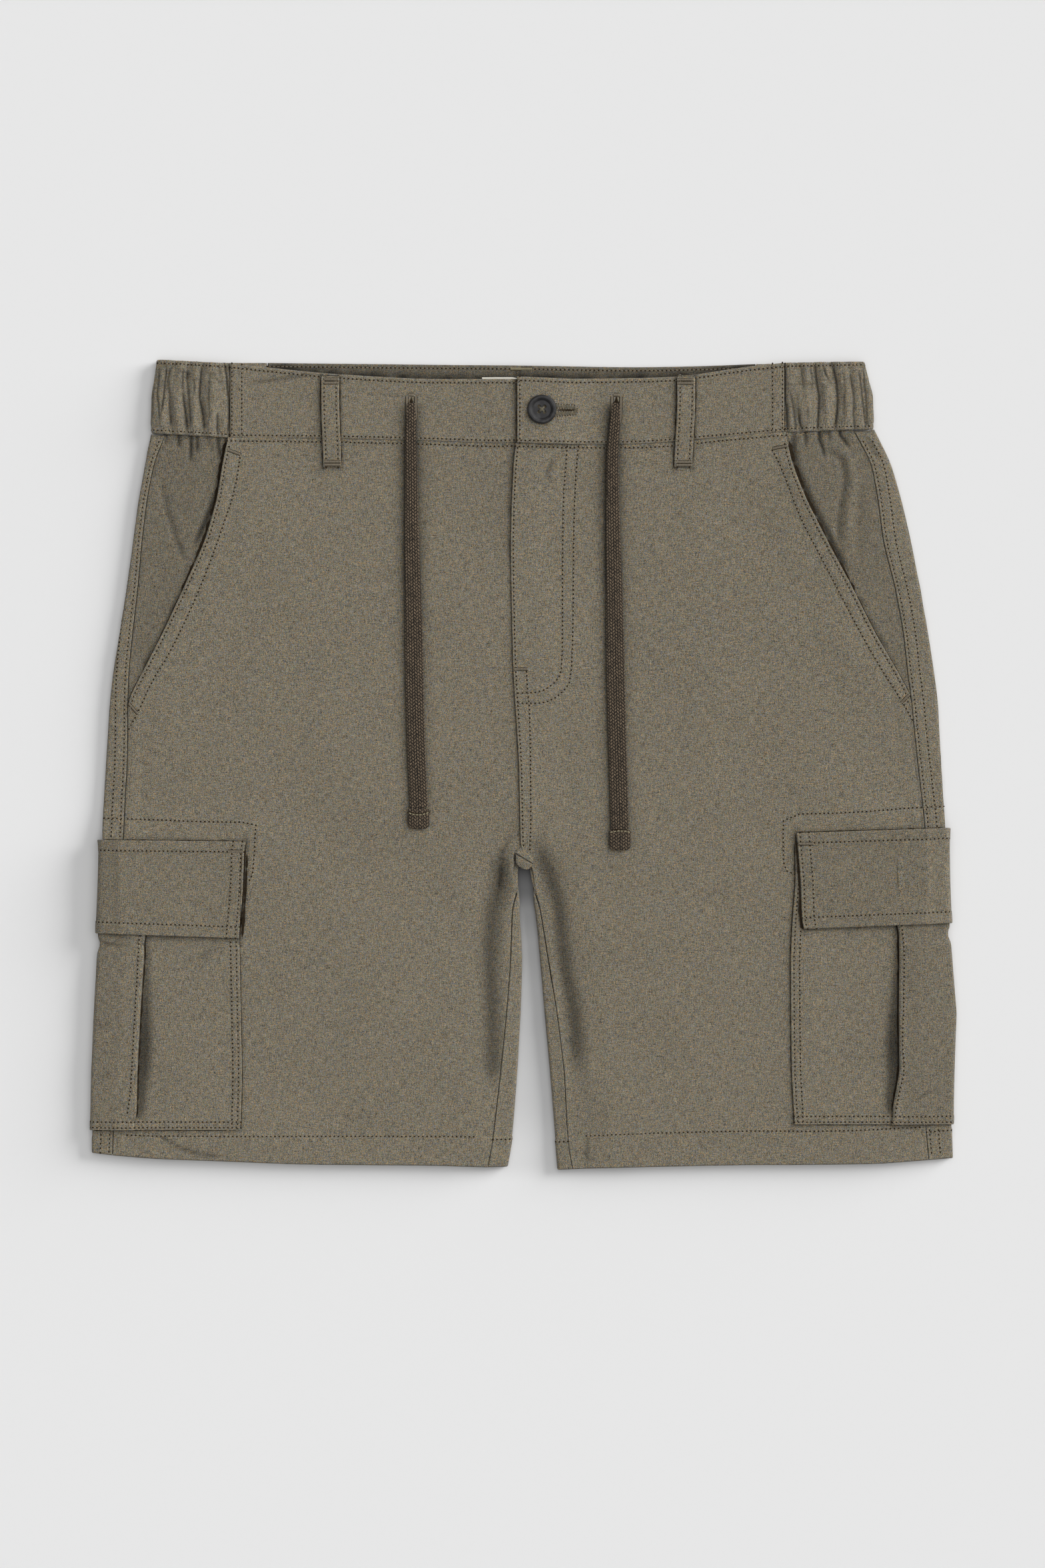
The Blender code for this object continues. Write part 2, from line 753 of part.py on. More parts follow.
def facing_section(leg, row):
    """The hip facing, from the side seam to its edge under the front."""
    y = row_y(leg, row, read(leg.mouth, "out", row[0]))
    seam = read(leg.side, "seam", row_y(leg, row, SEAM_OUT)) - SEAM / 2
    end = read(leg.mouth, "out", y) - FACING_UNDERLAP
    section = []
    for share in (0.0, 0.25, 0.5, 0.75, 1.0):
        out = seam + share * (end - seam)
        at = row_y(leg, row, out)
        section.append((leg.sign * out, at, upper_floor(leg, out, at) + CLOTH / 2))
    return section


# Waistband


def band_floor(x, y, over):
    """Height of the front waistband's underside. The right end passes over the left one."""
    step = (BAND + SEAM) * (1 - ramp(x, BAND_STEP_FROM_X, BAND_STEP_TO_X)) if over else 0.0
    return BAND_FLOOR + centre_lift(x, y) + step


def front_band(leg, start, end, material):
    places = {row.out for row in leg.waist_seam + leg.band_top} | {BAND_STEP_FROM_X, *LOOP_LIFT_COLUMNS}
    columns = [start, *sorted(out for out in places if start + 1 < out < end - 1), end]
    sections = []
    for up in (0.0, 0.12, 0.5, 0.88, 1.0):
        section = []
        for out in columns:
            low = read(leg.waist_seam, "y", out)
            high = read(leg.band_top, "y", out)
            y = low + up * (high - low)
            x = leg.sign * out
            section.append((x, y, band_floor(x, y, leg.sign > 0) + BAND / 2))
        sections.append(section)
    return cloth(f"waistband_front_{leg.name}", sections, BAND, material)


def back_band(material):
    inner = sorted({*LOOP_LIFT_COLUMNS, *BACK_BAND_COLUMNS})
    columns = [-LEFT.elastic_back + SEAM, *inner, RIGHT.elastic_back - SEAM]
    sections = []
    for up in (0.0, 0.5, 1.0):
        section = []
        for x in columns:
            low = read(BACK_BAND_SEAM, "y", x)
            y = low + up * (read(BACK_BAND_TOP, "y", x) - low)
            section.append((x, y, centre_lift(x, y) + BAND / 2))
        sections.append(section)
    return cloth("waistband_back", sections, BAND, material)


def gathered(leg, out, start, end):
    """How high the elastic's cloth stands off its own level: a soft swell, less each gather's trough."""
    troughs = 0.0
    for gather in leg.gathers:
        beside = out - start - gather.share * (end - start)
        troughs += gather.depth * math.exp(-((beside / gather.width) ** 2))
    from_end = min(out - start, end - out) - GATHER_FLAT
    return smooth(from_end / GATHER_END) * (GATHER_SWELL - troughs)


def elastic(leg, material):
    """The gathered side of the waistband: along the front, round the side and along the back."""
    radius = (BAND_FLOOR - BAND) / 2 + BAND / 2
    sections = []
    for up in (0.0, 0.15, 0.5, 0.85, 1.0):
        side_y = ELASTIC_LOW_Y + up * ELASTIC_TALL
        centre_out = read(leg.band_side, "out", side_y) - radius - BAND / 2
        start = leg.elastic_front + SEAM
        ends = [start, *(start + gather.share * (centre_out - start) for gather in leg.gathers), centre_out]
        tops = [near + (far - near) * share for near, far in zip(ends, ends[1:]) for share in (0.0, 0.5)]
        tops.insert(1, start + GATHER_FLAT)
        fold = half_circle(centre_out, BAND / 2 + radius, radius, 90, -180)
        line = []
        for out in tops:
            line.append((out, BAND_FLOOR + BAND / 2 + gathered(leg, out, start, centre_out), False))
        line += [(out, z, False) for out, z in fold]
        line += [(out, BAND / 2, True) for out in (ELASTIC_UNDER_OUT, leg.elastic_back + SEAM / 2)]
        section = []
        for out, z, is_under in line:
            x = leg.sign * out
            low = read(BACK_BAND_SEAM if is_under else leg.waist_seam, "y", x if is_under else out)
            inner_back = is_under and out < leg.elastic_front
            high = read(BACK_BAND_TOP if inner_back else leg.band_top, "y", x if inner_back else out)
            section.append((x, low + up * (high - low), z))
        sections.append(section)
    return cloth(f"waistband_elastic_{leg.name}", sections, BAND, material)


# Cargo pockets and flaps


def under_side(leg, y, layers_out):
    """The end of a wrapped section on the underside."""
    end = read(leg.side, "edge", y) - WRAP_UNDER
    z = side_lift(leg, y) - layers_out * LAYER + CLOTH / 2
    return [(end, z)]


def pocket_section(leg, y):
    """From the pocket's inner edge, under the pleat, back over it, round the side and along the underside."""

    def floor(out):
        return upper_floor(leg, out, y) + LAYER + CLOTH / 2

    inner = read(leg.pocket_inner, "inner", y)
    fold = read(leg.pleat, "out", y)
    deep = fold + PLEAT_DEPTH
    turn = LAYER / 2
    lowest = [(out, floor(out)) for out in (inner, inner + 3, (inner + fold) / 2, fold - 4)]
    first = half_circle(deep - turn - CLOTH / 2, floor(deep) + turn, turn, 270, 180)
    second = half_circle(fold + turn + CLOTH / 2, floor(fold) + LAYER + turn, turn, 270, -180)
    side = side_fold(leg, y, 1)
    past = deep + 2
    outer = [(past, floor(past) + pleat_rise(leg, past, y))]
    middle_out = (past + side[0][0]) / 2
    outer.append((middle_out, floor(middle_out) + pleat_rise(leg, middle_out, y)))
    line = lowest + first + second + outer + side + under_side(leg, y, 1)
    return [(leg.sign * out, y, z) for out, z in line]


def cargo_pocket(leg, material):
    inside_rows = [y for y, _, _ in leg_rows(leg) if leg.pocket_bottom < y < leg.pocket_top]
    sections = [pocket_section(leg, y) for y in (leg.pocket_top, *inside_rows, leg.pocket_bottom)]
    return cloth(f"cargo_pocket_{leg.name}", sections, CLOTH, material)


def flap_section(leg, share):
    """From the flap's inner edge, over the pleat, round the side and along the underside."""

    def at(out):
        top = read(leg.flap_top, "y", out)
        return top + share * (read(leg.flap_bottom, "y", out) - top)

    def floor(out, y):
        fold = read(leg.pleat, "out", y)
        over = smooth((out - fold + PLEAT_COVER) / (PLEAT_COVER - 1))
        rise = pleat_rise(leg, out, y) * over
        return upper_floor(leg, out, y) + 2 * LAYER + rise + CLOTH / 2

    inner = read(leg.flap_inner, "inner", at(FLAP_INNER_OUT))
    side_y = at(FLAP_OUT)
    fold = read(leg.pleat, "out", side_y)
    deep = fold + PLEAT_DEPTH + 2
    side = side_fold(leg, side_y, 2)
    outs = [inner, inner + 4, (inner + fold - PLEAT_COVER) / 2]
    outs += [fold - PLEAT_COVER, fold - PLEAT_COVER / 2, fold - 1, deep, (deep + side[0][0]) / 2]
    line = [(out, at(out), floor(out, at(out))) for out in outs]
    line += [(out, side_y, z) for out, z in side + under_side(leg, side_y, 2)]
    return [(leg.sign * out, y, z) for out, y, z in line]


def cargo_flap(leg, material):
    sections = [flap_section(leg, share) for share in (0.0, 0.08, 0.5, 0.92, 1.0)]
    return cloth(f"cargo_flap_{leg.name}", sections, CLOTH, material)


# Trims


def belt_loop(name, x, width, points, material):
    """A strip of folded cloth that follows points given as y and the height of its underside."""
    sections = []
    for side in (-0.5, 0.5):
        sections.append([(x + side * width, point.y, point.height + LOOP / 2) for point in points])
    return cloth(name, sections, LOOP, material, axis=1)


def label(material):
    sections = []
    for y in (LABEL_TOP_Y, LABEL_BOTTOM_Y):
        inside = [x for x in sorted(LOOP_LIFT_COLUMNS) if LABEL_LEFT_X + 1 < x < LABEL_RIGHT_X - 1]
        xs = [LABEL_LEFT_X, *inside, LABEL_RIGHT_X]
        sections.append([(x, y, LABEL_FLOOR + centre_lift(x, y) + TAPE / 2) for x in xs])
    return cloth("label", sections, TAPE, material)


def button(material):
    """A turned disc with a raised rim, cut by its four holes."""
    floor = band_floor(BUTTON_X - BUTTON_RADIUS, BUTTON_Y, True) + BAND + SEAM
    points = []
    faces = []
    for turned in BUTTON[1:-1]:
        for side in range(BUTTON_SIDES):
            angle = 2 * math.pi * side / BUTTON_SIDES
            x = BUTTON_X + turned.radius * math.cos(angle)
            points.append((x, BUTTON_Y + turned.radius * math.sin(angle), floor + turned.height))
    for ring in range(len(BUTTON) - 3):
        for side in range(BUTTON_SIDES):
            after = (side + 1) % BUTTON_SIDES
            a = ring * BUTTON_SIDES
            faces.append((a + side, a + after, a + BUTTON_SIDES + after, a + BUTTON_SIDES + side))
    faces.append(tuple(reversed(range(BUTTON_SIDES))))
    faces.append(tuple(range(len(points) - BUTTON_SIDES, len(points))))
    piece = solid("button", points, faces, material)
    cutter = button_holes(floor)
    cut = piece.modifiers.new("holes", "BOOLEAN")
    cut.object = cutter
    return piece


def button_holes(floor):
    """Four pins, used only to cut the holes."""
    edited = bmesh.new()
    for turn in range(4):
        angle = math.radians(45 + 90 * turn)
        x = BUTTON_X + BUTTON_HOLE_OFFSET * math.sqrt(2) * math.cos(angle)
        y = BUTTON_Y + BUTTON_HOLE_OFFSET * math.sqrt(2) * math.sin(angle)
        made = bmesh.ops.create_cone(
            edited,
            cap_ends=True,
            segments=12,
            radius1=BUTTON_HOLE_RADIUS * MM,
            radius2=BUTTON_HOLE_RADIUS * MM,
            depth=8 * MM,
        )
        bmesh.ops.translate(edited, verts=made["verts"], vec=(x * MM, y * MM, (floor + 1) * MM))
    mesh = bpy.data.meshes.new("button_holes")
    edited.to_mesh(mesh)
    edited.free()
    cutter = bpy.data.objects.new("button_holes", mesh)
    bpy.context.collection.objects.link(cutter)
    cutter.hide_render = True
    cutter.display_type = "WIRE"
    return cutter


def smooth_route(points, step):
    """A smooth curve through hand-set points, read about every step."""
    route = np.array(points, float)
    lengths = np.linalg.norm(np.diff(route, axis=0), axis=1)
    along = np.concatenate([[0], np.cumsum(lengths)])
    slopes = np.gradient(route, along, axis=0)
    read_at = np.linspace(0, along[-1], max(2, round(along[-1] / step)) + 1)
    found = []
    for place_at in read_at:
        k = min(int(np.searchsorted(along, place_at, "right")) - 1, len(lengths) - 1)
        span = lengths[k]
        t = (place_at - along[k]) / span
        start = (1 + 2 * t) * (1 - t) ** 2 * route[k] + t * (1 - t) ** 2 * span * slopes[k]
        end = t * t * (3 - 2 * t) * route[k + 1] + t * t * (t - 1) * span * slopes[k + 1]
        found.append(start + end)
    return found


def drawcord(name, route, material):
    """A flat braid: a curve whose extrusion gives its width and whose bevel gives its thickness."""
    curve = bpy.data.curves.new(name, "CURVE")
    curve.dimensions = "3D"
    curve.twist_mode = "Z_UP"
    curve.fill_mode = "FULL"
    curve.bevel_depth = CORD_THICKNESS / 2 * MM
    curve.bevel_resolution = 1
    curve.extrude = (CORD_WIDTH - CORD_THICKNESS) / 2 * MM
    curve.use_fill_caps = True
    points = smooth_route(route, CORD_STEP)
    spline = curve.splines.new("POLY")
    spline.points.add(len(points) - 1)
    for spot, point in zip(spline.points, points):
        spot.co = (*(MM * value for value in point), 1.0)
        spot.tilt = math.pi / 2
    return place(name, curve, material)


def cord_tip(name, end, material):
    """The cord's end, folded over twice and stitched."""
    x, y, z = end
    edited = bmesh.new()
    bmesh.ops.create_cube(edited, size=1.0)
    bmesh.ops.scale(edited, verts=edited.verts, vec=(TIP_WIDTH * MM, TIP_LENGTH * MM, TIP_THICKNESS * MM))
    low = z - CORD_THICKNESS / 2 + TIP_THICKNESS / 2
    centre = (x * MM, (y - TIP_GAP - TIP_LENGTH / 2) * MM, low * MM)
    bmesh.ops.translate(edited, verts=edited.verts, vec=centre)
    mesh = bpy.data.meshes.new(name)
    edited.to_mesh(mesh)
    edited.free()
    piece = place(name, mesh, material)
    rounding = piece.modifiers.new("rounding", "BEVEL")
    rounding.width = TIP_ROUND * MM
    rounding.segments = 2
    return piece


def leg(leg_sizes, linen, facing):
    """A leg's panels, facing, cargo pocket and flap."""
    name = leg_sizes.name
    rows = leg_rows(leg_sizes)
    cloth(f"back_{name}", [back_section(leg_sizes, row) for row in rows], CLOTH, linen)
    cloth(f"front_{name}", [front_section(leg_sizes, row) for row in rows], CLOTH, linen)
    hip_rows = [row for row in rows if row[0] >= leg_sizes.mouth_end]
    cloth(f"hip_facing_{name}", [facing_section(leg_sizes, row) for row in hip_rows], CLOTH, facing)
    cargo_pocket(leg_sizes, linen)
    cargo_flap(leg_sizes, linen)


def main():
    for old in list(bpy.data.objects):
        bpy.data.objects.remove(old, do_unlink=True)
    linen = finish("linen", (113, 107, 93), 0.9)
    braid = finish("braid", (78, 68, 54), 0.85)
    resin = finish("resin", (55, 52, 55), 0.4)
    tape = finish("tape", (225, 223, 216), 0.8)

    for sizes in (LEFT, RIGHT):
        leg(sizes, linen, linen)
        elastic(sizes, linen)
        belt_loop(f"belt_loop_{sizes.name}", sizes.loop_x, LOOP_WIDTH, FRONT_LOOP, linen)
    front_band(LEFT, -BAND_UNDERLAP_X, LEFT.elastic_front, linen)
    front_band(RIGHT, BAND_EDGE_X, RIGHT.elastic_front, linen)
    back_band(linen)
    under_loop = [LoopPoint(BACK_LOOP_TOP_Y, 0.0), LoopPoint(BACK_LOOP_BOTTOM_Y, 0.0)]
    belt_loop("belt_loop_back", 0.0, BACK_LOOP_WIDTH, under_loop, linen)
    label(tape)
    button(resin)
    for side, route in (("left", LEFT_CORD), ("right", RIGHT_CORD)):
        drawcord(f"drawcord_{side}", route, braid)
        cord_tip(f"drawcord_tip_{side}", route[-1], braid)


main()
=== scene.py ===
# %% [markdown]
# # Cargo shorts, laid flat
# This lesson dresses a plain model of a pair of shorts. The model's solids come from the frame: one plain wall
# for each piece of cloth that a maker cuts and sews. Each cell makes one piece or one finish, and says what it is
# on real shorts. Sizes are millimetres in the tables, and metres once they are in the scene. X runs across, Y up
# to the waist and Z up from the surface.

# %% Load the solids
import math
from collections import namedtuple

import bpy
import numpy as np
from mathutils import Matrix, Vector
from mathutils.bvhtree import BVHTree


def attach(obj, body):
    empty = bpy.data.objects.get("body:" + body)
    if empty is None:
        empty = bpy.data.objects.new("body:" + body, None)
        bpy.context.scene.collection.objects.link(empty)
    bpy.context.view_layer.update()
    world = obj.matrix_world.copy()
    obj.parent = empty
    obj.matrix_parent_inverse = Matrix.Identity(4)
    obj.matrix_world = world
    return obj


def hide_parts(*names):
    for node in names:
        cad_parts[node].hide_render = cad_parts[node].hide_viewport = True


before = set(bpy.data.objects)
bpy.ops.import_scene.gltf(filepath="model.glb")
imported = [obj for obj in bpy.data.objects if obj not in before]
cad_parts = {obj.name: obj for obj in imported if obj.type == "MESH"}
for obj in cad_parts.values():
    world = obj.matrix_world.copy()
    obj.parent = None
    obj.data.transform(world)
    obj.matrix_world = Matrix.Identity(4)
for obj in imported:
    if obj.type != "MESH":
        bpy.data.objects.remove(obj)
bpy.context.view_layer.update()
MM = 0.001

# %% [markdown]
# ## Camera
# A flat garment is shown from straight above. A long lens far away keeps the scale nearly the same on every
# layer, as a studio's overhead camera does. A few sizes place it: how much of the surface one pixel covers, and
# which pixel shows the middle of the garment's frame.

# %% Camera
PICTURE_WIDTH, PICTURE_HEIGHT = 1568, 2353
PIXEL = 0.403 * MM
MIDDLE_PIXEL_X, MIDDLE_PIXEL_Y = 785, 1148
CAMERA_HEIGHT = 3.0
FRONT_LEVEL = 6 * MM

lens = bpy.data.cameras.new("camera")
lens.lens = lens.sensor_width * (CAMERA_HEIGHT - FRONT_LEVEL) / (PICTURE_HEIGHT * PIXEL)
camera = bpy.data.objects.new("camera", lens)
camera.location = (
    (PICTURE_WIDTH / 2 - MIDDLE_PIXEL_X) * PIXEL,
    (MIDDLE_PIXEL_Y - PICTURE_HEIGHT / 2) * PIXEL,
    CAMERA_HEIGHT,
)
bpy.context.collection.objects.link(camera)
bpy.context.scene.camera = camera
print("lens", round(lens.lens, 1), "mm at", CAMERA_HEIGHT, "m")

# %% [markdown]
# ## Shader maths
# A material is easier to read as a sum than as a drawing of nodes. This small class wraps a socket, so that an
# expression such as 1 - mask adds the Math nodes by itself.


# %% A socket that takes part in sums
class Wire:
    def __init__(self, shader, socket):
        self.shader = shader
        self.socket = socket

    def maths(self, operation, *values):
        return self.shader.node("ShaderNodeMath", {"operation": operation}, dict(enumerate(values)))[0]

    def __add__(self, other):
        return self.maths("ADD", self, other)

    def __radd__(self, other):
        return self.maths("ADD", other, self)

    def __sub__(self, other):
        return self.maths("SUBTRACT", self, other)

    def __rsub__(self, other):
        return self.maths("SUBTRACT", other, self)

    def __mul__(self, other):
        return self.maths("MULTIPLY", self, other)

    def __rmul__(self, other):
        return self.maths("MULTIPLY", other, self)

    def __truediv__(self, other):
        return self.maths("DIVIDE", self, other)

    def above(self, low, high):
        """0 below low, 1 above high and a soft step between."""
        settings = {"interpolation_type": "SMOOTHSTEP"}
        return self.shader.node("ShaderNodeMapRange", settings, {0: self, 1: low, 2: high})[0]

    def wave(self, period):
        """A sine between -1 and 1."""
        return self.maths("SINE", self * (2 * math.pi / period))


print("sums of sockets ready")

# %% [markdown]
# ## Materials
# A material starts from Blender's Principled shader. Every other node comes from one method, which takes the
# node's type, its settings and the values of its sockets. The short methods after it name the few kinds that
# cloth needs: a value stored on the mesh, noise, a mix of two colours, a tint and a bump.


# %% A material and its nodes
class Shader:
    """A material, with the Principled shader that it starts from."""

    def __init__(self, name, roughness, sheen=0.0, specular=0.5):
        self.material = bpy.data.materials.new(name)
        self.material.use_nodes = True
        self.tree = self.material.node_tree
        self.surface = self.tree.nodes["Principled BSDF"]
        self.surface.inputs["Roughness"].default_value = roughness
        self.surface.inputs["Sheen Weight"].default_value = sheen
        self.surface.inputs["Sheen Roughness"].default_value = 0.6
        self.surface.inputs["Specular IOR Level"].default_value = specular

    def node(self, kind, settings, sockets):
        """Adds a node, sets it up, fills or links its sockets, and returns its outputs as wires."""
        added = self.tree.nodes.new(kind)
        for name, value in settings.items():
            setattr(added, name, value)
        for key, value in sockets.items():
            self.feed(added.inputs[key], value)
        return [Wire(self, socket) for socket in added.outputs]

    def feed(self, socket, value):
        if isinstance(value, Wire):
            self.tree.links.new(value.socket, socket)
        else:
            socket.default_value = value

    def place(self):
        """The place in the scene, in metres."""
        return self.node("ShaderNodeTexCoord", {}, {})[3]

    def attribute(self, name):
        """A value stored on the mesh: its colour, vector and factor outputs."""
        return self.node("ShaderNodeAttribute", {"attribute_name": name}, {})

    def split(self, vector):
        return self.node("ShaderNodeSeparateXYZ", {}, {0: vector})

    def join(self, x, y, z=0.0):
        return self.node("ShaderNodeCombineXYZ", {}, {0: x, 1: y, 2: z})[0]

    def noise(self, vector, scale=1.0, detail=0.0):
        return self.node("ShaderNodeTexNoise", {}, {"Vector": vector, "Scale": scale, "Detail": detail})[0]

    def mix(self, share, first, second):
        """A blend of two colours."""
        return self.node("ShaderNodeMix", {"data_type": "RGBA"}, {0: share, 6: first, 7: second})[2]

    def tint(self, colour, factor):
        """A colour made lighter or darker by a factor."""
        colour = colour[:3] if isinstance(colour, tuple) else colour
        return self.node("ShaderNodeVectorMath", {"operation": "SCALE"}, {0: colour, "Scale": factor})[0]

    def bump(self, height, distance, strength=1.0):
        sockets = {"Height": height, "Distance": distance, "Strength": strength}
        self.set("Normal", self.node("ShaderNodeBump", {}, sockets)[0])

    def set(self, name, value):
        self.feed(self.surface.inputs[name], value)


def srgb(red, green, blue):
    """A colour given as it looks on a screen, 0 to 255, for a colour socket."""
    linear = [((value / 255 + 0.055) / 1.055) ** 2.4 for value in (red, green, blue)]
    return (*linear, 1.0)


print("materials ready")

# %% [markdown]
# ## Linen and cotton cloth
# The cloth is a plain weave of slubby yarns, so its threads swell and thin along their length, and tan, grey-blue
# and moss-green threads lie side by side. From a step away that reads as a fine salt-and-pepper grain with faint
# lines both ways. Noise drawn out along the warp gives one set of threads, the same noise turned gives the other,
# and small round flecks break them up. A few pale slubs and knots stand out. The threads follow the cloth and not
# the scene, so every piece carries its own cloth coordinates, in millimetres, as a vector on its points. It also
# carries the distance to its rims, which are painted a little paler, partly as wear and partly as a painted
# highlight where the rolled edge catches the light, and its painted shade, which darkens folds and the cloth
# beside pieces that lie on it.

# %% Cloth material
YARN = 0.38
SLUB_LENGTH = 5.0
THREAD_CONTRAST, FLECK_CONTRAST, CLOUD_CONTRAST = (1.25, 1.2), 4.3, 0.10
SLUB_PALER, KNOT_PALER, RIM_WEAR_AND_HIGHLIGHT = 0.16, 0.28, 0.05
INSIDE_SHADE_TONE = 0.70
CLOTH_COLOUR = srgb(117, 109, 93)
TAN_THREAD = srgb(137, 112, 77)
GREY_THREAD = srgb(100, 102, 109)
MOSS_THREAD = srgb(104, 110, 89)


def linen(name, tone=1.0, on_grid=True):
    """The shorts' cloth. tone makes one use of it lighter or darker than the rest; the inside of the back waistband
    uses it as painted shade. A plain solid, which has no cloth coordinates, is woven in its own place instead."""
    shader = Shader(name, roughness=0.92, sheen=0.12, specular=0.18)
    weave = shader.attribute("cloth")[1] if on_grid else shader.tint(shader.place(), 1 / MM)
    u, v, _ = shader.split(weave)
    warp = shader.noise(shader.join(u / YARN, v / SLUB_LENGTH), 1.0, 1.0)
    weft = shader.noise(shader.join(u / SLUB_LENGTH, v / YARN, 7.0), 1.0, 1.0)
    fleck = shader.noise(shader.join(u, v, 3.0), 2.9, 2.0)
    hue = shader.noise(shader.join(u, v, 11.0), 1.8, 0.0)
    moss = shader.noise(shader.join(u, v, 29.0), 1.7, 0.0)
    cloudy = shader.noise(shader.join(u, v, 5.0), 0.03, 1.0)
    slub = shader.noise(shader.join(u / 0.7, v / 3.0, 17.0), 1.0, 0.0).above(0.71, 0.79)
    knot = shader.noise(shader.join(u, v, 23.0), 0.9, 0.0).above(0.72, 0.80)
    grain = 1.0 + (warp - 0.5) * THREAD_CONTRAST[0] + (weft - 0.5) * THREAD_CONTRAST[1]
    grain = grain + (fleck - 0.5) * FLECK_CONTRAST + (cloudy - 0.5) * CLOUD_CONTRAST
    colour = shader.mix(hue.above(0.3, 0.5), GREY_THREAD, CLOTH_COLOUR)
    colour = shader.mix(hue.above(0.5, 0.72), colour, TAN_THREAD)
    colour = shader.mix(moss.above(0.5, 0.7) * 0.7, colour, MOSS_THREAD)
    lightness = grain + slub * SLUB_PALER + knot * KNOT_PALER
    if on_grid:
        # Rims are painted paler, as wear and as a painted highlight; the stored shade is painted shade.
        edge = shader.attribute("rim")[2].above(1.3, 0.2)
        lightness = (lightness + edge * RIM_WEAR_AND_HIGHLIGHT) * (1.0 - shader.attribute("shade")[2])
    lightness = lightness * tone
    shader.set("Base Color", shader.tint(colour, lightness))
    shader.bump(warp + weft + fleck * 1.2, 0.22 * MM, 0.5)
    return shader.material


outer_cloth = linen("slub_cloth")
# The inside of the back waistband is the same cloth, painted darker as shade.
shaded_inner_cloth = linen("slub_cloth_inside_painted_shade", INSIDE_SHADE_TONE)
print("cloth materials", outer_cloth.name, shaded_inner_cloth.name)

# %% [markdown]
# ## Floor and light
# The shorts lie on a pale, even surface in soft studio light. A low, broad source to the right and behind the
# waist throws the soft shadows that the surface shows to the left and below the hems, and one overhead keeps the
# surface pale. The cloth itself is lit from higher up, by a second broad source on the same side, which opens up
# its folds. Light linking keeps the low source and the surface's own for the surface, and the high one for the
# cloth. Another source overhead and a pale world fill the rest. Colours are shown as they are, with the plain
# display curve, so a cloth's colour is its real one.
#
# Real legs stand higher and rounder than thin flat walls, so less light reaches the surface between them. A soft
# painted shadow on the surface stands in for that: a table gives how dark the surface is at some heights up the
# gap, in millimetres.

# %% Floor
FLOOR_BELOW = 0.3 * MM
FLOOR_SIZE = 14.0
FLOOR_COLOUR = srgb(231, 231, 231)
LEG_GAP = [(-254, 0), (-240, 0.11), (-200, 0.25), (-140, 0.35), (-110, 0.44), (-90, 0.56), (-75, 0.76),
           (-62, 0.86)]
GAP_LEFT, GAP_RIGHT, GAP_TOP = (-40, -22), (78, 55), (0, -30)

half = FLOOR_SIZE / 2
floor_corners = [(-half, -half), (half, -half), (half, half), (-half, half)]
floor_mesh = bpy.data.meshes.new("floor")
floor_mesh.from_pydata([(x, y, -FLOOR_BELOW) for x, y in floor_corners], [], [(0, 1, 2, 3)])
floor = bpy.data.objects.new("floor", floor_mesh)
bpy.context.collection.objects.link(floor)
floor_shader = Shader("floor", roughness=0.95, specular=0.1)
floor_x, floor_y, _ = floor_shader.split(floor_shader.tint(floor_shader.place(), 1 / MM))
# The painted shadow between the legs, from the table, faded out at the gap's sides and top.
dark = 0.0
for (y0, dark0), (y1, dark1) in zip(LEG_GAP, LEG_GAP[1:]):
    dark = floor_y.above(y0, y1) * (dark1 - dark0) + dark
dark = dark * floor_x.above(*GAP_LEFT) * floor_x.above(*GAP_RIGHT) * floor_y.above(*GAP_TOP)
floor_shader.set("Base Color", floor_shader.mix(dark, FLOOR_COLOUR, srgb(0, 0, 0)))
floor_mesh.materials.append(floor_shader.material)
print("floor", FLOOR_SIZE, "m wide")

# %% [markdown]
# The lights come next. Each is a sun lamp, whose wide angle makes its shadows as soft as a studio's softbox does.
# A direction, an angle in degrees and a strength describe it.

# %% Lights
Softbox = namedtuple("Softbox", "source spread strength")
LOW_KEY = Softbox((0.90, 0.42, 0.12), 40, 8.0)
SURFACE_TOP = Softbox((0.10, 0.08, 1.0), 110, 0.42)
HIGH_KEY = Softbox((0.72, 0.42, 0.66), 80, 2.64)
OVERHEAD = Softbox((0.10, 0.08, 1.0), 80, 0.85)
FILL_STRENGTH = 0.22


def softbox(name, box, floor_state=None):
    """A broad, far light from one direction. floor_state INCLUDE lights the floor alone, EXCLUDE all the rest."""
    light = bpy.data.lights.new(name, "SUN")
    light.energy = box.strength
    light.angle = math.radians(box.spread)
    made = bpy.data.objects.new(name, light)
    made.rotation_mode = "QUATERNION"
    made.rotation_quaternion = Vector(box.source).to_track_quat("Z", "Y")
    bpy.context.collection.objects.link(made)
    if floor_state:
        lit = bpy.data.collections.new(name + "_lit")
        lit.objects.link(floor)
        lit.collection_objects[0].light_linking.link_state = floor_state
        made.light_linking.receiver_collection = lit


softbox("low_key", LOW_KEY, "INCLUDE")
softbox("surface_top", SURFACE_TOP, "INCLUDE")
softbox("high_key", HIGH_KEY, "EXCLUDE")
softbox("overhead", OVERHEAD)

world = bpy.data.worlds.new("studio")
world.use_nodes = True
world.node_tree.nodes["Background"].inputs["Color"].default_value = (1.0, 1.0, 1.0, 1.0)
world.node_tree.nodes["Background"].inputs["Strength"].default_value = FILL_STRENGTH
bpy.context.scene.world = world
bpy.context.scene.view_settings.view_transform = "Standard"
print("lights", len(bpy.data.lights))

# %% [markdown]
# ## Lines and meshes
# Cords, rims and rows of stitches all start as a line of points. These helpers measure a line, find points along
# it and round its corners, and turn arrays of points and faces into a mesh.

# %% Lines and meshes
TINY = 1e-12


def along(line):
    """The way travelled at each point of a line."""
    return np.concatenate([[0.0], np.cumsum(np.linalg.norm(np.diff(line, axis=0), axis=1))])


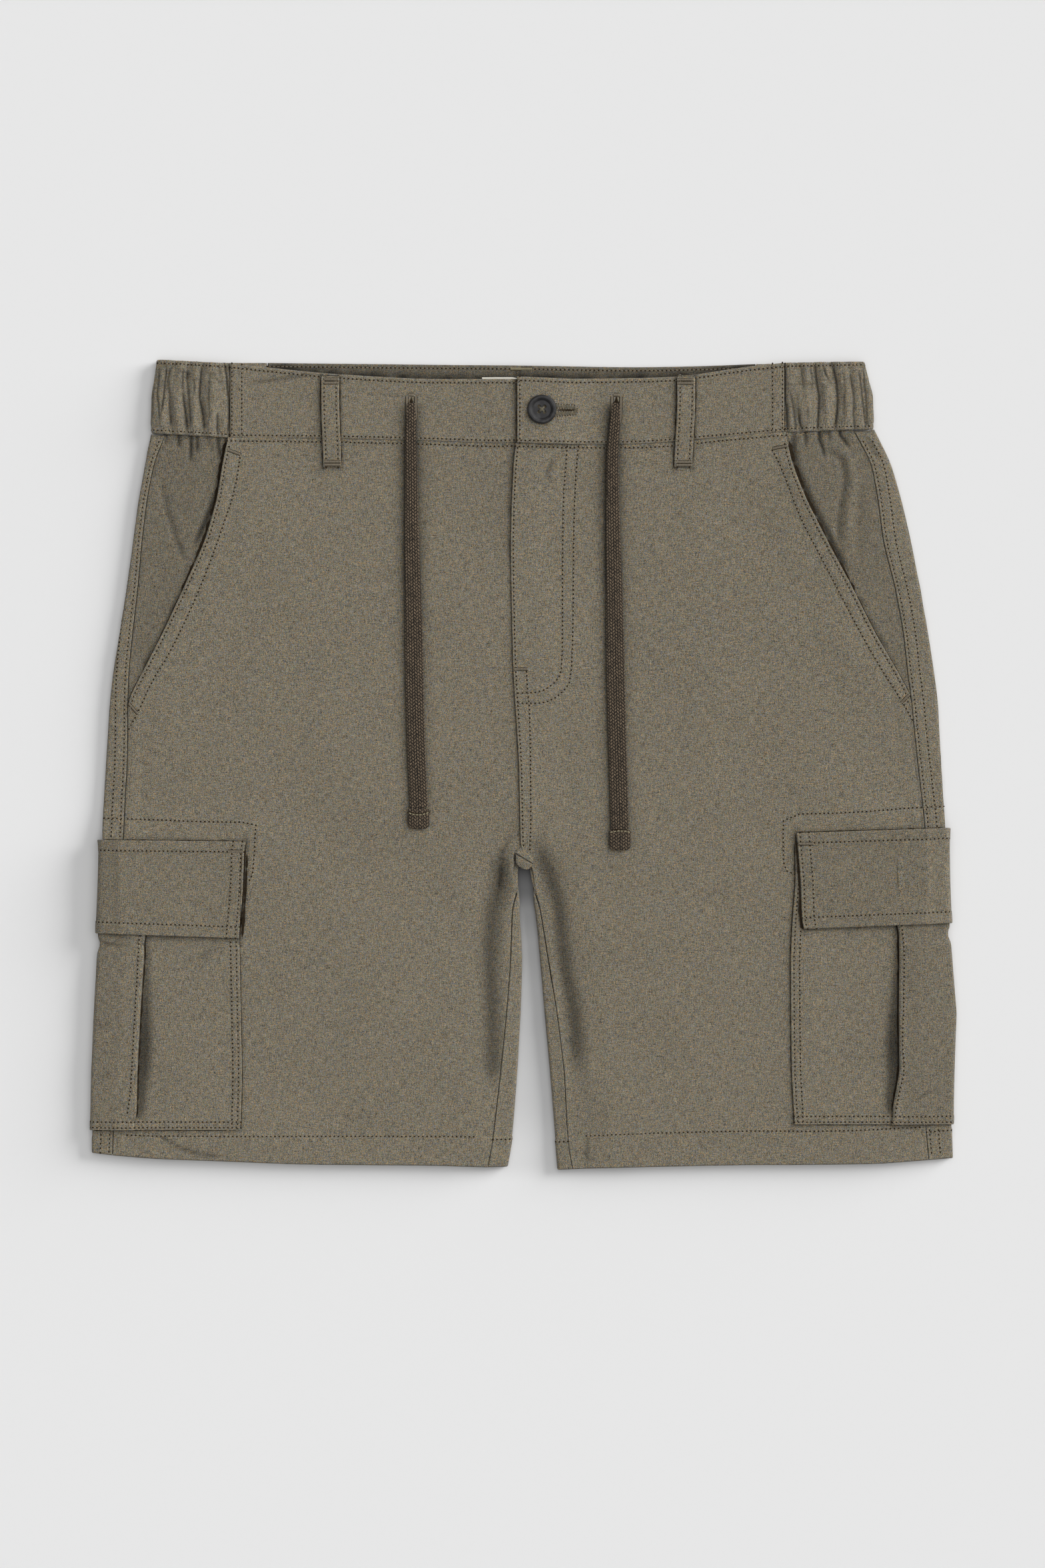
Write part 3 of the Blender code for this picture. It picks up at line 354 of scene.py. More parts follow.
def at(line, places, reached=None):
    """Points of a line at some places along it."""
    reached = along(line) if reached is None else reached
    return np.stack([np.interp(places, reached, line[:, k]) for k in range(line.shape[1])], axis=1)


def unit(vectors):
    """Vectors of length 1 with the same directions."""
    return vectors / np.maximum(np.linalg.norm(vectors, axis=-1, keepdims=True), TINY)


def rounded(line, times=2):
    """An open line with its corners cut off a quarter of the way along."""
    for _ in range(times):
        near = line[:-1] * 0.75 + line[1:] * 0.25
        far = line[:-1] * 0.25 + line[1:] * 0.75
        middle = np.stack([near, far], axis=1).reshape(-1, line.shape[1])[1:-1]
        line = np.vstack([line[:1], middle, line[-1:]])
    return line


def mesh_object(name, points, faces, *materials):
    """A smooth mesh object from an array of points and a list or an array of faces, linked to the scene."""
    mesh = bpy.data.meshes.new(name)
    mesh.from_pydata(points.tolist(), [], faces.tolist() if isinstance(faces, np.ndarray) else faces)
    mesh.polygons.foreach_set("use_smooth", np.full(len(mesh.polygons), True))
    for material in materials:
        mesh.materials.append(material)
    made = bpy.data.objects.new(name, mesh)
    bpy.context.collection.objects.link(made)
    return made


def store(made, name, values):
    """Stores a number or a vector at each point of a mesh, for its material."""
    values = np.asarray(values, dtype=np.float32)
    kind, key = ("FLOAT", "value") if values.ndim == 1 else ("FLOAT_VECTOR", "vector")
    made.data.attributes.new(name, kind, "POINT").data.foreach_set(key, values.reshape(-1))


def tube_faces(rings, around):
    """Quads that join rings of points into a tube with open ends."""
    ring, turn = np.meshgrid(np.arange(rings - 1), np.arange(around), indexing="ij")
    ahead = (turn + 1) % around
    quads = [ring * around + turn, ring * around + ahead, (ring + 1) * around + ahead, (ring + 1) * around + turn]
    return np.stack(quads, axis=-1).reshape(-1, 4)


print("line and mesh helpers ready")

# %% [markdown]
# ## Drawcords
# The waist's cord is a flat tubular braid. It comes out of a stitched slit in the waistband, pinched together,
# and spreads to its full width as it lies down over the front. Its far end is folded over and sewn. The route
# runs through the air just above the cloth, down the middle of the cord. The spreads give a width or a thickness
# by the distance along it, in millimetres.

# %% Routes of the cords
CORD_THICKNESS = 2.0
CORD_ROUTES = {
    "drawcord_left": [
        (-67.7, 218.8, 6.60), (-67.8, 206.0, 6.60), (-67.8, 196.0, 6.60), (-67.7, 186.0, 6.25),
        (-67.6, 176.0, 5.90), (-67.4, 150.0, 5.85), (-67.0, 125.0, 5.85), (-66.5, 100.0, 5.85),
        (-66.0, 75.0, 5.85), (-65.7, 55.0, 6.10), (-65.4, 40.0, 6.40), (-64.9, 20.0, 6.75),
        (-64.2, 0.0, 6.75), (-63.5, -14.0, 6.75), (-63.1, -25.7, 6.75),
    ],
    "drawcord_right": [
        (56.4, 218.8, 6.60), (55.6, 208.0, 6.60), (54.6, 197.0, 6.60), (54.1, 187.0, 6.25),
        (54.0, 177.0, 5.90), (54.3, 150.0, 5.85), (54.8, 125.0, 5.85), (55.2, 100.0, 5.85),
        (55.6, 75.0, 5.85), (56.0, 55.0, 6.10), (56.4, 38.0, 6.45), (56.9, 18.0, 6.75),
        (57.5, 0.0, 6.75), (58.0, -20.0, 6.75), (58.5, -38.7, 6.75),
    ],
}
CORD_SPREAD = [(0, 4.6), (6, 5.8), (14, 6.6), (28, 7.0), (55, 7.6), (75, 8.4), (100, 9.4), (120, 10.2),
               (150, 10.9)]
CORD_THICK = [(0, CORD_THICKNESS), (1, CORD_THICKNESS)]
TIP_SPREAD = [(0, 11.6), (0.8, 13.0), (8.8, 13.2), (10.8, 12.4), (11.9, 10.2), (12.4, 7.0)]
TIP_THICK = [(0, 2.0), (0.6, 3.0), (1.6, 3.4), (10.6, 3.4), (11.8, 2.6), (12.4, 1.0)]
TIPS = {
    "drawcord_left": [(-63.1, -26.2, 7.5), (-63.1, -32.4, 7.5), (-63.1, -38.6, 7.5)],
    "drawcord_right": [(58.5, -39.2, 7.5), (58.5, -45.4, 7.5), (58.5, -51.6, 7.5)],
}
print("routes of", len(CORD_ROUTES), "cords")

# %% [markdown]
# A braid's yarns pass over and under one another on the slant, so its surface is a lattice of small slanted bumps
# in upright files. Each file lies half a bump below its neighbour and leans the other way. The ribbon's mesh
# carries those bumps, because they catch the light, and stores them for its material, which paints the pits
# between them near black, as shade.

# %% Braided ribbon
BRAID_FILE = 1.5
BRAID_RISE = 2.0
BRAID_RELIEF = 0.62
BRAID_STEP = 0.41
BRAID_SLANT = 0.55
BUMP_REACH = (0.62, 0.52)
FACE_POINTS, BACK_POINTS = 35, 9
THINNEST_HALF = 0.15
FILES_TO_EDGE = 40


def bumps(across, down):
    """The braid's relief, 0 to 1, at places across it and down it."""
    files = np.floor(across / BRAID_FILE)
    odd = np.mod(files, 2)
    x = across / BRAID_FILE - files - 0.5
    slant = np.where(odd > 0, BRAID_SLANT, -BRAID_SLANT)
    phase = down / BRAID_RISE + slant * x + odd * 0.5
    y = phase - np.round(phase)
    return np.sqrt(np.clip(1 - (x / BUMP_REACH[0]) ** 2, 0, 1) * np.clip(1 - (y / BUMP_REACH[1]) ** 2, 0, 1))


def ribbon(name, route, spread, thick, material):
    """A flat braid along a route. spread and thick give its width and thickness by the distance along it."""
    line = rounded(np.array(route) * MM)
    length = along(line)[-1]
    down = np.append(np.arange(0, length, BRAID_STEP * MM), length)
    middle = at(line, down)
    ahead = unit(np.gradient(middle, axis=0))
    sideways = unit(np.cross(ahead, (0.0, 0.0, 1.0)))
    upward = np.cross(sideways, ahead)
    widths = np.interp(down / MM, *zip(*spread))
    halves = np.interp(down / MM, *zip(*thick)) / 2
    face = np.arcsin(np.linspace(-1, 1, FACE_POINTS)) + math.pi / 2
    angles = np.concatenate([face, np.linspace(math.pi, 2 * math.pi, BACK_POINTS)[1:-1]])
    flat = np.sign(np.cos(angles)) * np.abs(np.cos(angles)) ** 0.9
    high = np.sign(np.sin(angles)) * np.abs(np.sin(angles)) ** 0.55
    across = widths[:, None] / 2 * flat[None, :]
    relief = bumps(across + FILES_TO_EDGE * BRAID_FILE, down[:, None] / MM)
    swell = np.maximum(halves[:, None] - BRAID_RELIEF * (1 - relief), THINNEST_HALF)
    points = (middle[:, None] + sideways[:, None] * (across * MM)[..., None]
              + upward[:, None] * (swell * high[None, :] * MM)[..., None])
    around = len(angles)
    ends = [list(range(around))[::-1], list(range((len(down) - 1) * around, len(down) * around))]
    faces = tube_faces(len(down), around).tolist() + ends
    made = mesh_object(name + "_braid", points.reshape(-1, 3), faces, material)
    store(made, "relief", relief.reshape(-1))
    return made, length


print("ribbon ready")

# %% [markdown]
# The cord is dyed a dark brown, and its yarns are flecked. Each cord and its folded end stand for their solids in
# the frame, which are hidden, and both are attached to the root.


# %% Drawcords
def braid_material():
    shader = Shader("braid_yarn", roughness=0.8, sheen=0.08, specular=0.2)
    place = shader.place()
    fleck = shader.noise(place, 1250.0, 1.0)
    broad = shader.noise(place, 260.0, 1.0)
    relief = shader.attribute("relief")[2]
    # The pits between the bumps are painted near black, as shade.
    colour = shader.mix(relief.above(0.5, 0.95), srgb(9, 7, 5), srgb(108, 93, 75))
    shader.set("Base Color", shader.tint(colour, fleck * 2.6 + broad * 0.6 - 0.78))
    shader.bump(fleck, 0.15 * MM, 0.6)
    return shader.material


braid = braid_material()
tips = {}
for name, route in CORD_ROUTES.items():
    tip_name = name.replace("cord", "cord_tip")
    cord, length = ribbon(name, route, CORD_SPREAD, CORD_THICK, braid)
    tip, _ = ribbon(tip_name, TIPS[name], TIP_SPREAD, TIP_THICK, braid)
    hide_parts(name)
    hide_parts(tip_name)
    for piece in (cord, tip):
        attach(piece, "root")
    tips[name] = tip
    print(name, round(length / MM, 1), "mm,", len(cord.data.polygons), "faces")

# %% [markdown]
# ## Reading a wall as a grid of cloth
# Each solid is a wall of even thickness that follows the cloth from one of its edges to the other. A cut straight
# across it gives a closed outline, like a slice of bread. The hem and the waist slant a little, so the cuts slant
# with them: each point of the solid first gets its share of the way from the lower rim to the upper one, and a
# cut follows one share.

# %% Cuts across a solid
LAYER_SPLIT = 2.1 * MM
RIM_FACING = 0.8


def welded(name):
    """Points and triangles of a solid, with the points that share a place made one."""
    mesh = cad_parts[name].data
    mesh.calc_loop_triangles()
    points = np.array([tuple(vertex.co) for vertex in mesh.vertices])
    triangles = np.array([tuple(triangle.vertices) for triangle in mesh.loop_triangles])
    _, first, same = np.unique(points.round(7), axis=0, return_index=True, return_inverse=True)
    triangles = same.reshape(-1)[triangles]
    whole = (triangles != np.roll(triangles, 1, axis=1)).all(axis=1)
    return points[first], triangles[whole]


def shares_up(points, triangles):
    """The share of the way from the lower rim to the upper one at each point. Each layer has its own rims."""
    corners = points[triangles]
    facing = np.cross(corners[:, 1] - corners[:, 0], corners[:, 2] - corners[:, 0])
    facing = facing[:, 1] / np.linalg.norm(facing, axis=1)
    is_upper = points[:, 2] > LAYER_SPLIT
    shares = np.zeros(len(points))
    for layer in (is_upper, ~is_upper):
        heights = []
        for side in (-1, 1):
            rim = np.unique(triangles[facing * side > RIM_FACING])
            rim = rim[layer[rim]] if layer[rim].any() else rim
            rim = rim[np.argsort(points[rim, 0])]
            heights.append(np.interp(points[:, 0], points[rim, 0], points[rim, 1]))
        low, high = heights
        shares = np.where(layer, (points[:, 1] - low) / (high - low), shares)
    return shares


def outline_at(points, triangles, shares, level):
    """The longest closed outline that a cut at one share makes."""
    above = shares > level
    mixed = above[triangles]
    follows = {}
    for corners in triangles[mixed.any(axis=1) & ~mixed.all(axis=1)].tolist():
        sides = zip(corners, corners[1:] + corners[:1])
        ends = [tuple(sorted(side)) for side in sides if above[side[0]] != above[side[1]]]
        follows.setdefault(ends[0], []).append(ends[1])
        follows.setdefault(ends[1], []).append(ends[0])
    longest = []
    while follows:
        walk = [next(iter(follows))]
        ahead = follows.pop(walk[0])
        while ahead and ahead[0] in follows:
            walk.append(ahead[0])
            ahead = [edge for edge in follows.pop(ahead[0]) if edge in follows]
        longest = max(longest, walk, key=len)
    edges = np.array(longest)
    share = (level - shares[edges[:, 0]]) / (shares[edges[:, 1]] - shares[edges[:, 0]])
    return points[edges[:, 0]] + share[:, None] * (points[edges[:, 1]] - points[edges[:, 0]])


print("cuts ready")

# %% [markdown]
# The outline of a cut has two short ends, which are the cloth's cut edges, and two long sides. The side that
# reaches higher is the face. The four corners are where the outline turns sharply, and an end is as long as the
# wall is thick.

# %% The face of a cut
CORNER_TURN = math.radians(50)
END_SLACK = 0.35
SAME_PLACE = 1e-6


def turns(loop):
    """How far a closed outline turns at each of its points, seen from the hem, in radians."""
    ahead = (np.roll(loop, -1, axis=0) - loop)[:, [0, 2]]
    behind = (loop - np.roll(loop, 1, axis=0))[:, [0, 2]]
    return np.arctan2(behind[:, 0] * ahead[:, 1] - behind[:, 1] * ahead[:, 0], (behind * ahead).sum(axis=1))


def face_at(points, triangles, shares, level, thickness):
    """The face of a wall's cut, from end to end, or None where the outline is odd."""
    loop = outline_at(points, triangles, shares, level)
    loop = loop[np.linalg.norm(loop - np.roll(loop, 1, axis=0), axis=1) > SAME_PLACE]
    turn = turns(loop)
    if turn.sum() < 0:
        loop = loop[::-1]
        turn = turns(loop)
    corners = np.flatnonzero(turn > CORNER_TURN)
    if len(corners) != 4:
        return None
    ahead = np.roll(corners, -1)
    across = np.linalg.norm(loop[ahead] - loop[corners], axis=1)
    ends = np.flatnonzero(np.abs(across / thickness - 1) < END_SLACK)
    if len(ends) != 2 or (ends[1] - ends[0]) != 2:
        return None
    sides = []
    for start, stop in ((ahead[ends[0]], corners[ends[1]]), (ahead[ends[1]], corners[ends[0]])):
        count = (stop - start) % len(loop) + 1
        sides.append(loop[(start + np.arange(count)) % len(loop)])
    return max(sides, key=lambda side: side[:, 2].max())


print("faces ready")

# %% [markdown]
# ## Places on a grid
# Points spread along the face of cut after cut give a fine, orderly grid. Its points have to be close together
# where the cloth folds, so they are spread by a measure that grows with the way travelled and with the turns
# made. A few extra rows and columns go along each rim and each line of stitches, where the cloth has its relief.

# %% Places on a grid
TURN_STEP = math.radians(14)
RIM_STEPS = (0.07, 0.22, 0.55, 1.1)
SEAM_STEPS = (-1.1, -0.5, 0.0, 0.5, 1.1)
APART = 0.004


def measure(line, step, under_step):
    """Grows along a line with the way travelled, in steps, and with the turns made."""
    legs = np.diff(line, axis=0)
    lengths = np.linalg.norm(legs, axis=1)
    angles = np.arctan2(legs[:, 2], legs[:, 0])
    turn = np.abs((np.diff(angles) + math.pi) % (2 * math.pi) - math.pi)
    turning = np.concatenate([[0.0], turn]) / 2 + np.concatenate([turn, [0.0]]) / 2
    middle = (line[:-1, 2] + line[1:, 2]) / 2
    steps = np.where(middle < LAYER_SPLIT / 2, under_step, step)
    return np.concatenate([[0.0], np.cumsum(lengths / steps + turning / TURN_STEP)])


def gaussian(values, spread):
    """Smooths along the first axis. The ends stay where they are."""
    reach = min(int(3 * spread) + 1, len(values) - 1)
    weights = np.exp(-0.5 * (np.arange(-reach, reach + 1) / spread) ** 2)
    weights /= weights.sum()
    before = 2 * values[:1] - values[reach:0:-1]
    after = 2 * values[-1:] - values[-2 : -reach - 2 : -1]
    padded = np.concatenate([before, values, after])
    return sum(weight * padded[k : k + len(values)] for k, weight in enumerate(weights))


def merged(even, extra, length):
    """Even places with extra ones worked in, all a little apart."""
    places = np.sort(np.concatenate([even, extra]))
    places = places + np.arange(len(places)) * APART * MM
    return places * length / places[-1]


def beside_rim(steps):
    """Places near a rim, in metres: the rim's own and those of each seam."""
    return np.array(sorted({*RIM_STEPS, *(seam + k for seam in steps for k in SEAM_STEPS)})) * MM


print("places ready")

# %% [markdown]
# ## A piece of cloth
# The rows of a piece's grid run across the garment and its columns run up it. Corners of the solid's outline are
# rounded by cutting them off a quarter of the way along, twice, which is how a carpenter would round a beam. The
# rows are then smoothed along the garment. The grid knows how far each of its points is from the four rims, so
# seams and stitches can follow them. Everything else is built on such grids: the cloth, its creases and its
# seams.

# %% A piece of cloth
UNDER_STEP = 4.0
FIRST_CUT = 0.0008
FEWEST_CUTS = 5
LEVEL_FACING = 0.9
LEAN_SPREAD, LEAST_LEAN = 8, 0.6


class Cloth:
    """A piece of cloth: a grid of points on its face, rows up the garment and columns across it.

    outward is the side that its first end is on. anchor is where the weave's place across equals X. step is the
    space between points, wider on the underside. smooth is how far the rows are smoothed up the garment. seams
    lists the distances of its stitches from the first end, the last end, the lower rim and the upper rim."""

    def __init__(self, name, outward, anchor, thickness, step, smooth, seams):
        self.name = name
        self.thickness = thickness * MM
        self.seams = seams
        points, triangles = welded(name)
        shares = shares_up(points, triangles)
        tall = float(np.ptp(points[:, 1]))
        levels = np.linspace(FIRST_CUT, 1 - FIRST_CUT, max(FEWEST_CUTS, round(tall / (step * MM)) + 1))
        cuts = [(level, face_at(points, triangles, shares, level, self.thickness)) for level in levels]
        levels = np.array([level for level, line in cuts if line is not None])
        lines = [rounded(line) for _, line in cuts if line is not None]
        lines = [line if (line[0, 0] - line[-1, 0]) * outward > 0 else line[::-1] for line in lines]
        measures = [measure(line, step * MM, UNDER_STEP * MM) for line in lines]
        count = round(float(np.median([way[-1] for way in measures])))
        rows = []
        for line, way in zip(lines, measures):
            places = np.interp(np.linspace(0, 1, count + 1), way / way[-1], along(line))
            rows.append(at(line, places))
        even = gaussian(np.array(rows), smooth / step)
        extra = np.concatenate([beside_rim(seams[2]), tall - beside_rim(seams[3])])
        heights = merged(np.linspace(0, tall, len(even)), extra, tall)
        even = np.stack([at(even[:, j], heights / tall, levels) for j in range(even.shape[1])], axis=1)
        self.face = np.array([self.across(line, seams[0], seams[1]) for line in even])
        self.shade = np.zeros(self.face.shape[:2])
        self.distances()
        highest = np.argmax(self.face[:, :, 2])
        self.side = 1.0 if self.normals().reshape(-1, 3)[highest, 2] > 0 else -1.0
        self.settle()
        self.flat = self.face.copy()
        level_part = np.abs(self.facing[:, :, 2]) > LEVEL_FACING
        start = np.argmin(np.abs(self.face[:, :, 0] - anchor * MM) + np.where(level_part, 0, 1), axis=1)
        row = np.arange(len(self.face))
        way = self.first * np.sign(self.face[row, start, 0][:, None] - self.face[:, :1, 0] + 1e-12)
        self.weave = way - way[row, start][:, None] + self.face[row, start, 0][:, None]

    def across(self, line, first, last):
        """A row of points with extra ones near both of its ends."""
        reached = along(line)
        extra = np.concatenate([beside_rim(first), reached[-1] - beside_rim(last)])
        return at(line, merged(reached, extra, reached[-1]), reached)

    def distances(self):
        """Distances from the first end, the last end, the lower rim and the upper rim, square to each."""
        legs = np.linalg.norm(np.diff(self.face, axis=1), axis=2)
        way = np.concatenate([np.zeros((len(self.face), 1)), np.cumsum(legs, axis=1)], axis=1)
        lean = []
        for end in (self.face[:, 0], self.face[:, -1]):
            slope = gaussian(np.gradient(end, axis=0), LEAN_SPREAD)
            lean.append(np.clip(slope[:, 1] / np.linalg.norm(slope, axis=1), LEAST_LEAN, 1)[:, None])
        self.first = way * lean[0]
        self.last = (way[:, -1:] - way) * lean[1]
        rise = np.linalg.norm(np.diff(self.face, axis=0), axis=2)
        self.lower = np.concatenate([np.zeros((1, self.face.shape[1])), np.cumsum(rise, axis=0)], axis=0)
        self.upper = self.lower[-1:] - self.lower

    def normals(self):
        return unit(np.cross(np.gradient(self.face, axis=1), np.gradient(self.face, axis=0)))

    def rims(self):
        """The distances from the four rims, in the order that the tables number them: 0 to 3."""
        return [self.first, self.last, self.lower, self.upper]

    def lift(self, heights):
        """Moves the face outward, by millimetres."""
        self.face = self.face + self.facing * (heights * MM)[..., None]

    def darken(self, depth):
        """Paints shade: makes the cloth darker by a share of its colour, as at the bottom of a fold."""
        self.shade = np.maximum(self.shade, depth)

    def settle(self):
        """Works out which way the face looks at each point."""
        self.facing = self.normals() * self.side

    def line(self, distances, value, low=None, high=None):
        """The line on the face at one distance from a rim, as points and the way the face looks at each."""
        sideways = distances is self.first or distances is self.last
        face, facing = self.face, self.facing
        if not sideways:
            face, facing, distances = face.transpose(1, 0, 2), facing.transpose(1, 0, 2), distances.T
        spots = []
        for points, ways, reached in zip(face, facing, distances):
            flip = slice(None, None, 1 if reached[-1] > reached[0] else -1)
            both = np.hstack([points, ways])[flip]
            spots.append(at(both, [value * MM], reached[flip])[0])
        spots = np.array(spots)
        key = 1 if sideways else 0
        inside = np.full(len(spots), True)
        if low is not None:
            inside = (spots[:, key] > low * MM) & (spots[:, key] < high * MM)
        return spots[inside]


print("grids ready")

# %% [markdown]
# ## The mesh of a piece
# A grid is a face without thickness. Its mesh is that face with a lip turned in under it all round, as wide as
# the eye can reach below its rims, so a rim shows the cloth's thickness and is round. The mesh also stores what
# the cloth material reads: the place in the weave, the distance to a rim that is painted paler, as wear and as a
# painted highlight, and the painted shade.

# %% The mesh of a piece
LIP_STEPS = (*RIM_STEPS, 2.0)
NO_RIM = 99.0


def lipped(from_low, from_high, lip):
    """The order of a grid's rows, or columns, with a lip at both ends, and which of them are the lip."""
    count = len(from_low)
    steps = np.array([step for step in LIP_STEPS if step < lip] + [lip]) * MM
    low = np.minimum(np.searchsorted(from_low, steps), count // 2)[::-1]
    high = np.maximum(np.searchsorted(-from_high, -steps) - 1, count // 2)
    order = np.concatenate([low, np.arange(count), high])
    under = np.concatenate([np.ones(len(low), bool), np.zeros(count, bool), np.ones(len(high), bool)])
    return order, under


def make(cloth, material, lip, worn_and_lit):
    """The mesh of a piece of cloth. The last argument says of each rim whether it is painted paler, as wear and as
    a painted highlight.
    """
    cloth.settle()
    rows, columns = cloth.face.shape[:2]
    half = cloth.thickness / 2
    row_order, row_under = lipped(cloth.lower[:, columns // 2], cloth.upper[:, columns // 2], lip)
    column_order, column_under = lipped(cloth.first[rows // 2], cloth.last[rows // 2], lip)
    pick = np.ix_(row_order, column_order)
    nearest = np.minimum.reduce(cloth.rims())[pick]
    inward = np.clip(1 - nearest / half, 0, 1)
    swell = half * np.sqrt(1 - inward**2)
    under = row_under[:, None] | column_under[None, :]
    points = cloth.face[pick] + cloth.facing[pick] * (np.where(under, -swell, swell) - half)[..., None]
    wide = points.shape[1]
    r, c = np.meshgrid(np.arange(points.shape[0] - 1), np.arange(wide - 1), indexing="ij")
    corner = (r * wide + c).reshape(-1)
    faces = np.stack([corner, corner + 1, corner + wide + 1, corner + wide], axis=1)
    if cloth.side < 0:
        faces = faces[:, ::-1]
    made = mesh_object(cloth.name + "_cloth", points.reshape(-1, 3), faces, material)
    weave = np.stack([cloth.weave[pick], cloth.flat[..., 1][pick], np.zeros(nearest.shape)], axis=-1) / MM
    store(made, "cloth", weave.reshape(-1, 3))
    edge = np.full(nearest.shape, NO_RIM)
    for rim, is_worn_and_lit in zip(cloth.rims(), worn_and_lit):
        if is_worn_and_lit:
            edge = np.minimum(edge, rim[pick] / MM)
    store(made, "rim", edge.reshape(-1))
    store(made, "shade", cloth.shade[pick].reshape(-1))
    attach(made, "root")
    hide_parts(cloth.name)
    return made


print("cloth meshes ready")

# %% [markdown]
# ## The pieces of cloth
# Every wall becomes a grid here, before any is shaped or sewn. A table says which side of the garment each piece
# starts from, where its weave is measured from, its thickness, how fine its grid is and how smooth, and how far
# its stitches lie from its four rims: its outer end, its inner end, its lower rim and its upper rim.

# %% Read every wall
LEFT, RIGHT = -1, 1
CLOTH, BAND, LOOP, TAPE = 1.1, 2.0, 1.4, 0.6
Piece = namedtuple("Piece", "outward anchor thickness step smooth seams")
SIDE_SEAM = (1.9, 7.2)
MOUTH = (1.9, 7.4)
HEM = (13.5, 15.5, 17.5, 19.5)
PIECES = {
    "back_left": Piece(LEFT, -120, CLOTH, 2.3, 5.0, (SIDE_SEAM, (1.6,), HEM, ())),
    "back_right": Piece(RIGHT, 120, CLOTH, 2.3, 5.0, (SIDE_SEAM, (1.6,), HEM, ())),
    "front_left": Piece(LEFT, -120, CLOTH, 1.75, 4.0, (MOUTH, (), HEM, (1.6,))),
    "front_right": Piece(RIGHT, 120, CLOTH, 1.75, 4.0, (MOUTH, (1.6,), HEM, (1.6,))),
    "hip_facing_left": Piece(LEFT, -190, CLOTH, 0.9, 4.0, ((), (), (), ())),
    "hip_facing_right": Piece(RIGHT, 180, CLOTH, 0.9, 4.0, ((), (), (), ())),
    "cargo_pocket_left": Piece(LEFT, -190, CLOTH, 1.3, 2.5, ((), (2.0, 5.4), (1.5, 5.0), ())),
    "cargo_pocket_right": Piece(RIGHT, 185, CLOTH, 1.3, 2.5, ((), (2.0, 5.4), (1.5, 5.0), ())),
    "cargo_flap_left": Piece(LEFT, -190, CLOTH, 1.2, 2.5, ((), (2.0, 7.4), (6.9,), (6.3,))),
    "cargo_flap_right": Piece(RIGHT, 185, CLOTH, 1.2, 2.5, ((), (2.0, 7.4), (6.9,), (6.3,))),
    "waistband_back": Piece(RIGHT, 0, BAND, 1.8, 2.0, ((), (), (1.8,), (2.2,))),
    "waistband_elastic_left": Piece(LEFT, -190, BAND, 0.5, 1.2, ((), (), (2.0,), (2.2,))),
    "waistband_elastic_right": Piece(RIGHT, 180, BAND, 0.5, 1.2, ((), (), (2.0,), (2.2,))),
    "waistband_front_left": Piece(LEFT, -80, BAND, 1.2, 2.0, ((1.2, 7.2), (), (1.6,), (2.4,))),
    "waistband_front_right": Piece(RIGHT, 80, BAND, 1.2, 2.0, ((1.2, 7.2), (1.8,), (1.6,), (2.4,))),
    "belt_loop_left": Piece(LEFT, -115, LOOP, 1.1, 2.0, ((1.9,), (1.9,), (), ())),
    "belt_loop_right": Piece(RIGHT, 98, LOOP, 1.1, 2.0, ((1.9,), (1.9,), (), ())),
    "label": Piece(RIGHT, 0, TAPE, 1.8, 2.0, ((), (), (), ())),
}
cloths = {name: Cloth(name, *piece) for name, piece in PIECES.items()}
for name, cloth in cloths.items():
    print(name, cloth.face.shape[:2], "weave", np.round([cloth.weave.min() / MM, cloth.weave.max() / MM]))

# %% [markdown]
# ## Relief
# Cloth that has been sewn, worn and washed is never flat. A seam's allowance makes a low ridge beside it, and
# each line of stitches sits in a shallow groove, drawn in a little unevenly. Between the seams the cloth lies in
# long soft waves. The underside is pressed flat by its own weight. The random waves start from a seed of their
# own each time, so every run gives the same cloth.

# %% Waves and seams
GROOVE = 0.17
GROOVE_WIDTH = 0.55
WAVES = 24


def soft(values, low, high):
    """0 below low, 1 above high and a soft step between."""
    t = np.clip((values - low) / (high - low), 0, 1)
    return t * t * (3 - 2 * t)


def bell(values, width):
    """1 at 0, falling softly to nothing a few widths away."""
    return np.exp(-((values / width) ** 2))


def waves(x, y, length, seed):
    """A smooth random field with features of about one length, as a sum of waves in all directions."""
    source = np.random.default_rng(seed)
    total = 0
    for _ in range(WAVES):
        angle = source.uniform(0, math.pi)
        period = length * source.uniform(0.6, 2.4)
        phase = source.uniform(0, 2 * math.pi)
        total = total + np.sin(2 * math.pi * (x * math.cos(angle) + y * math.sin(angle)) / period + phase)
    return total / math.sqrt(WAVES / 2)


def on_top(cloth):
    """1 where the face looks up and nothing of the same piece lies over it, 0 elsewhere."""
    return soft(cloth.facing[..., 2], 0.25, 0.7) * soft(cloth.flat[..., 2] / MM, 1.9, 2.3)


def fell(cloth, rim, stitches, height):
    """A seam's allowance: a low ridge from a rim to its last line of stitches, with a groove at each line."""
    distance = cloth.rims()[rim] / MM
    lift = height * (1 - soft(distance, stitches[-1] + 0.1, stitches[-1] + 1.2))
    for stitch in stitches:
        lift = lift - GROOVE * bell(distance - stitch, GROOVE_WIDTH)
    return lift


def drawn_in(cloth, rim, centre, reach, height, length, seed):
    """The uneven pull of a seam: short waves along it that die away to both sides."""
    distance = cloth.rims()[rim] / MM
    way = cloth.flat[..., 1] if rim < 2 else cloth.weave
    return height * waves(way / MM, distance * 0.15, length, seed) * bell(distance - centre, reach)


print("waves and seams ready")

# %% [markdown]
# ## Creases and shade
# A crease is a ridge or a trough along a line drawn in plan. In a fold, and beside the rim of a piece that lies
# on top, little light gets in. The thin walls of the model are too low for all of that darkness, so the rest is
# stored as shade on the points of the cloth.

# %% Creases and shade
SHADE_POINTS = 60


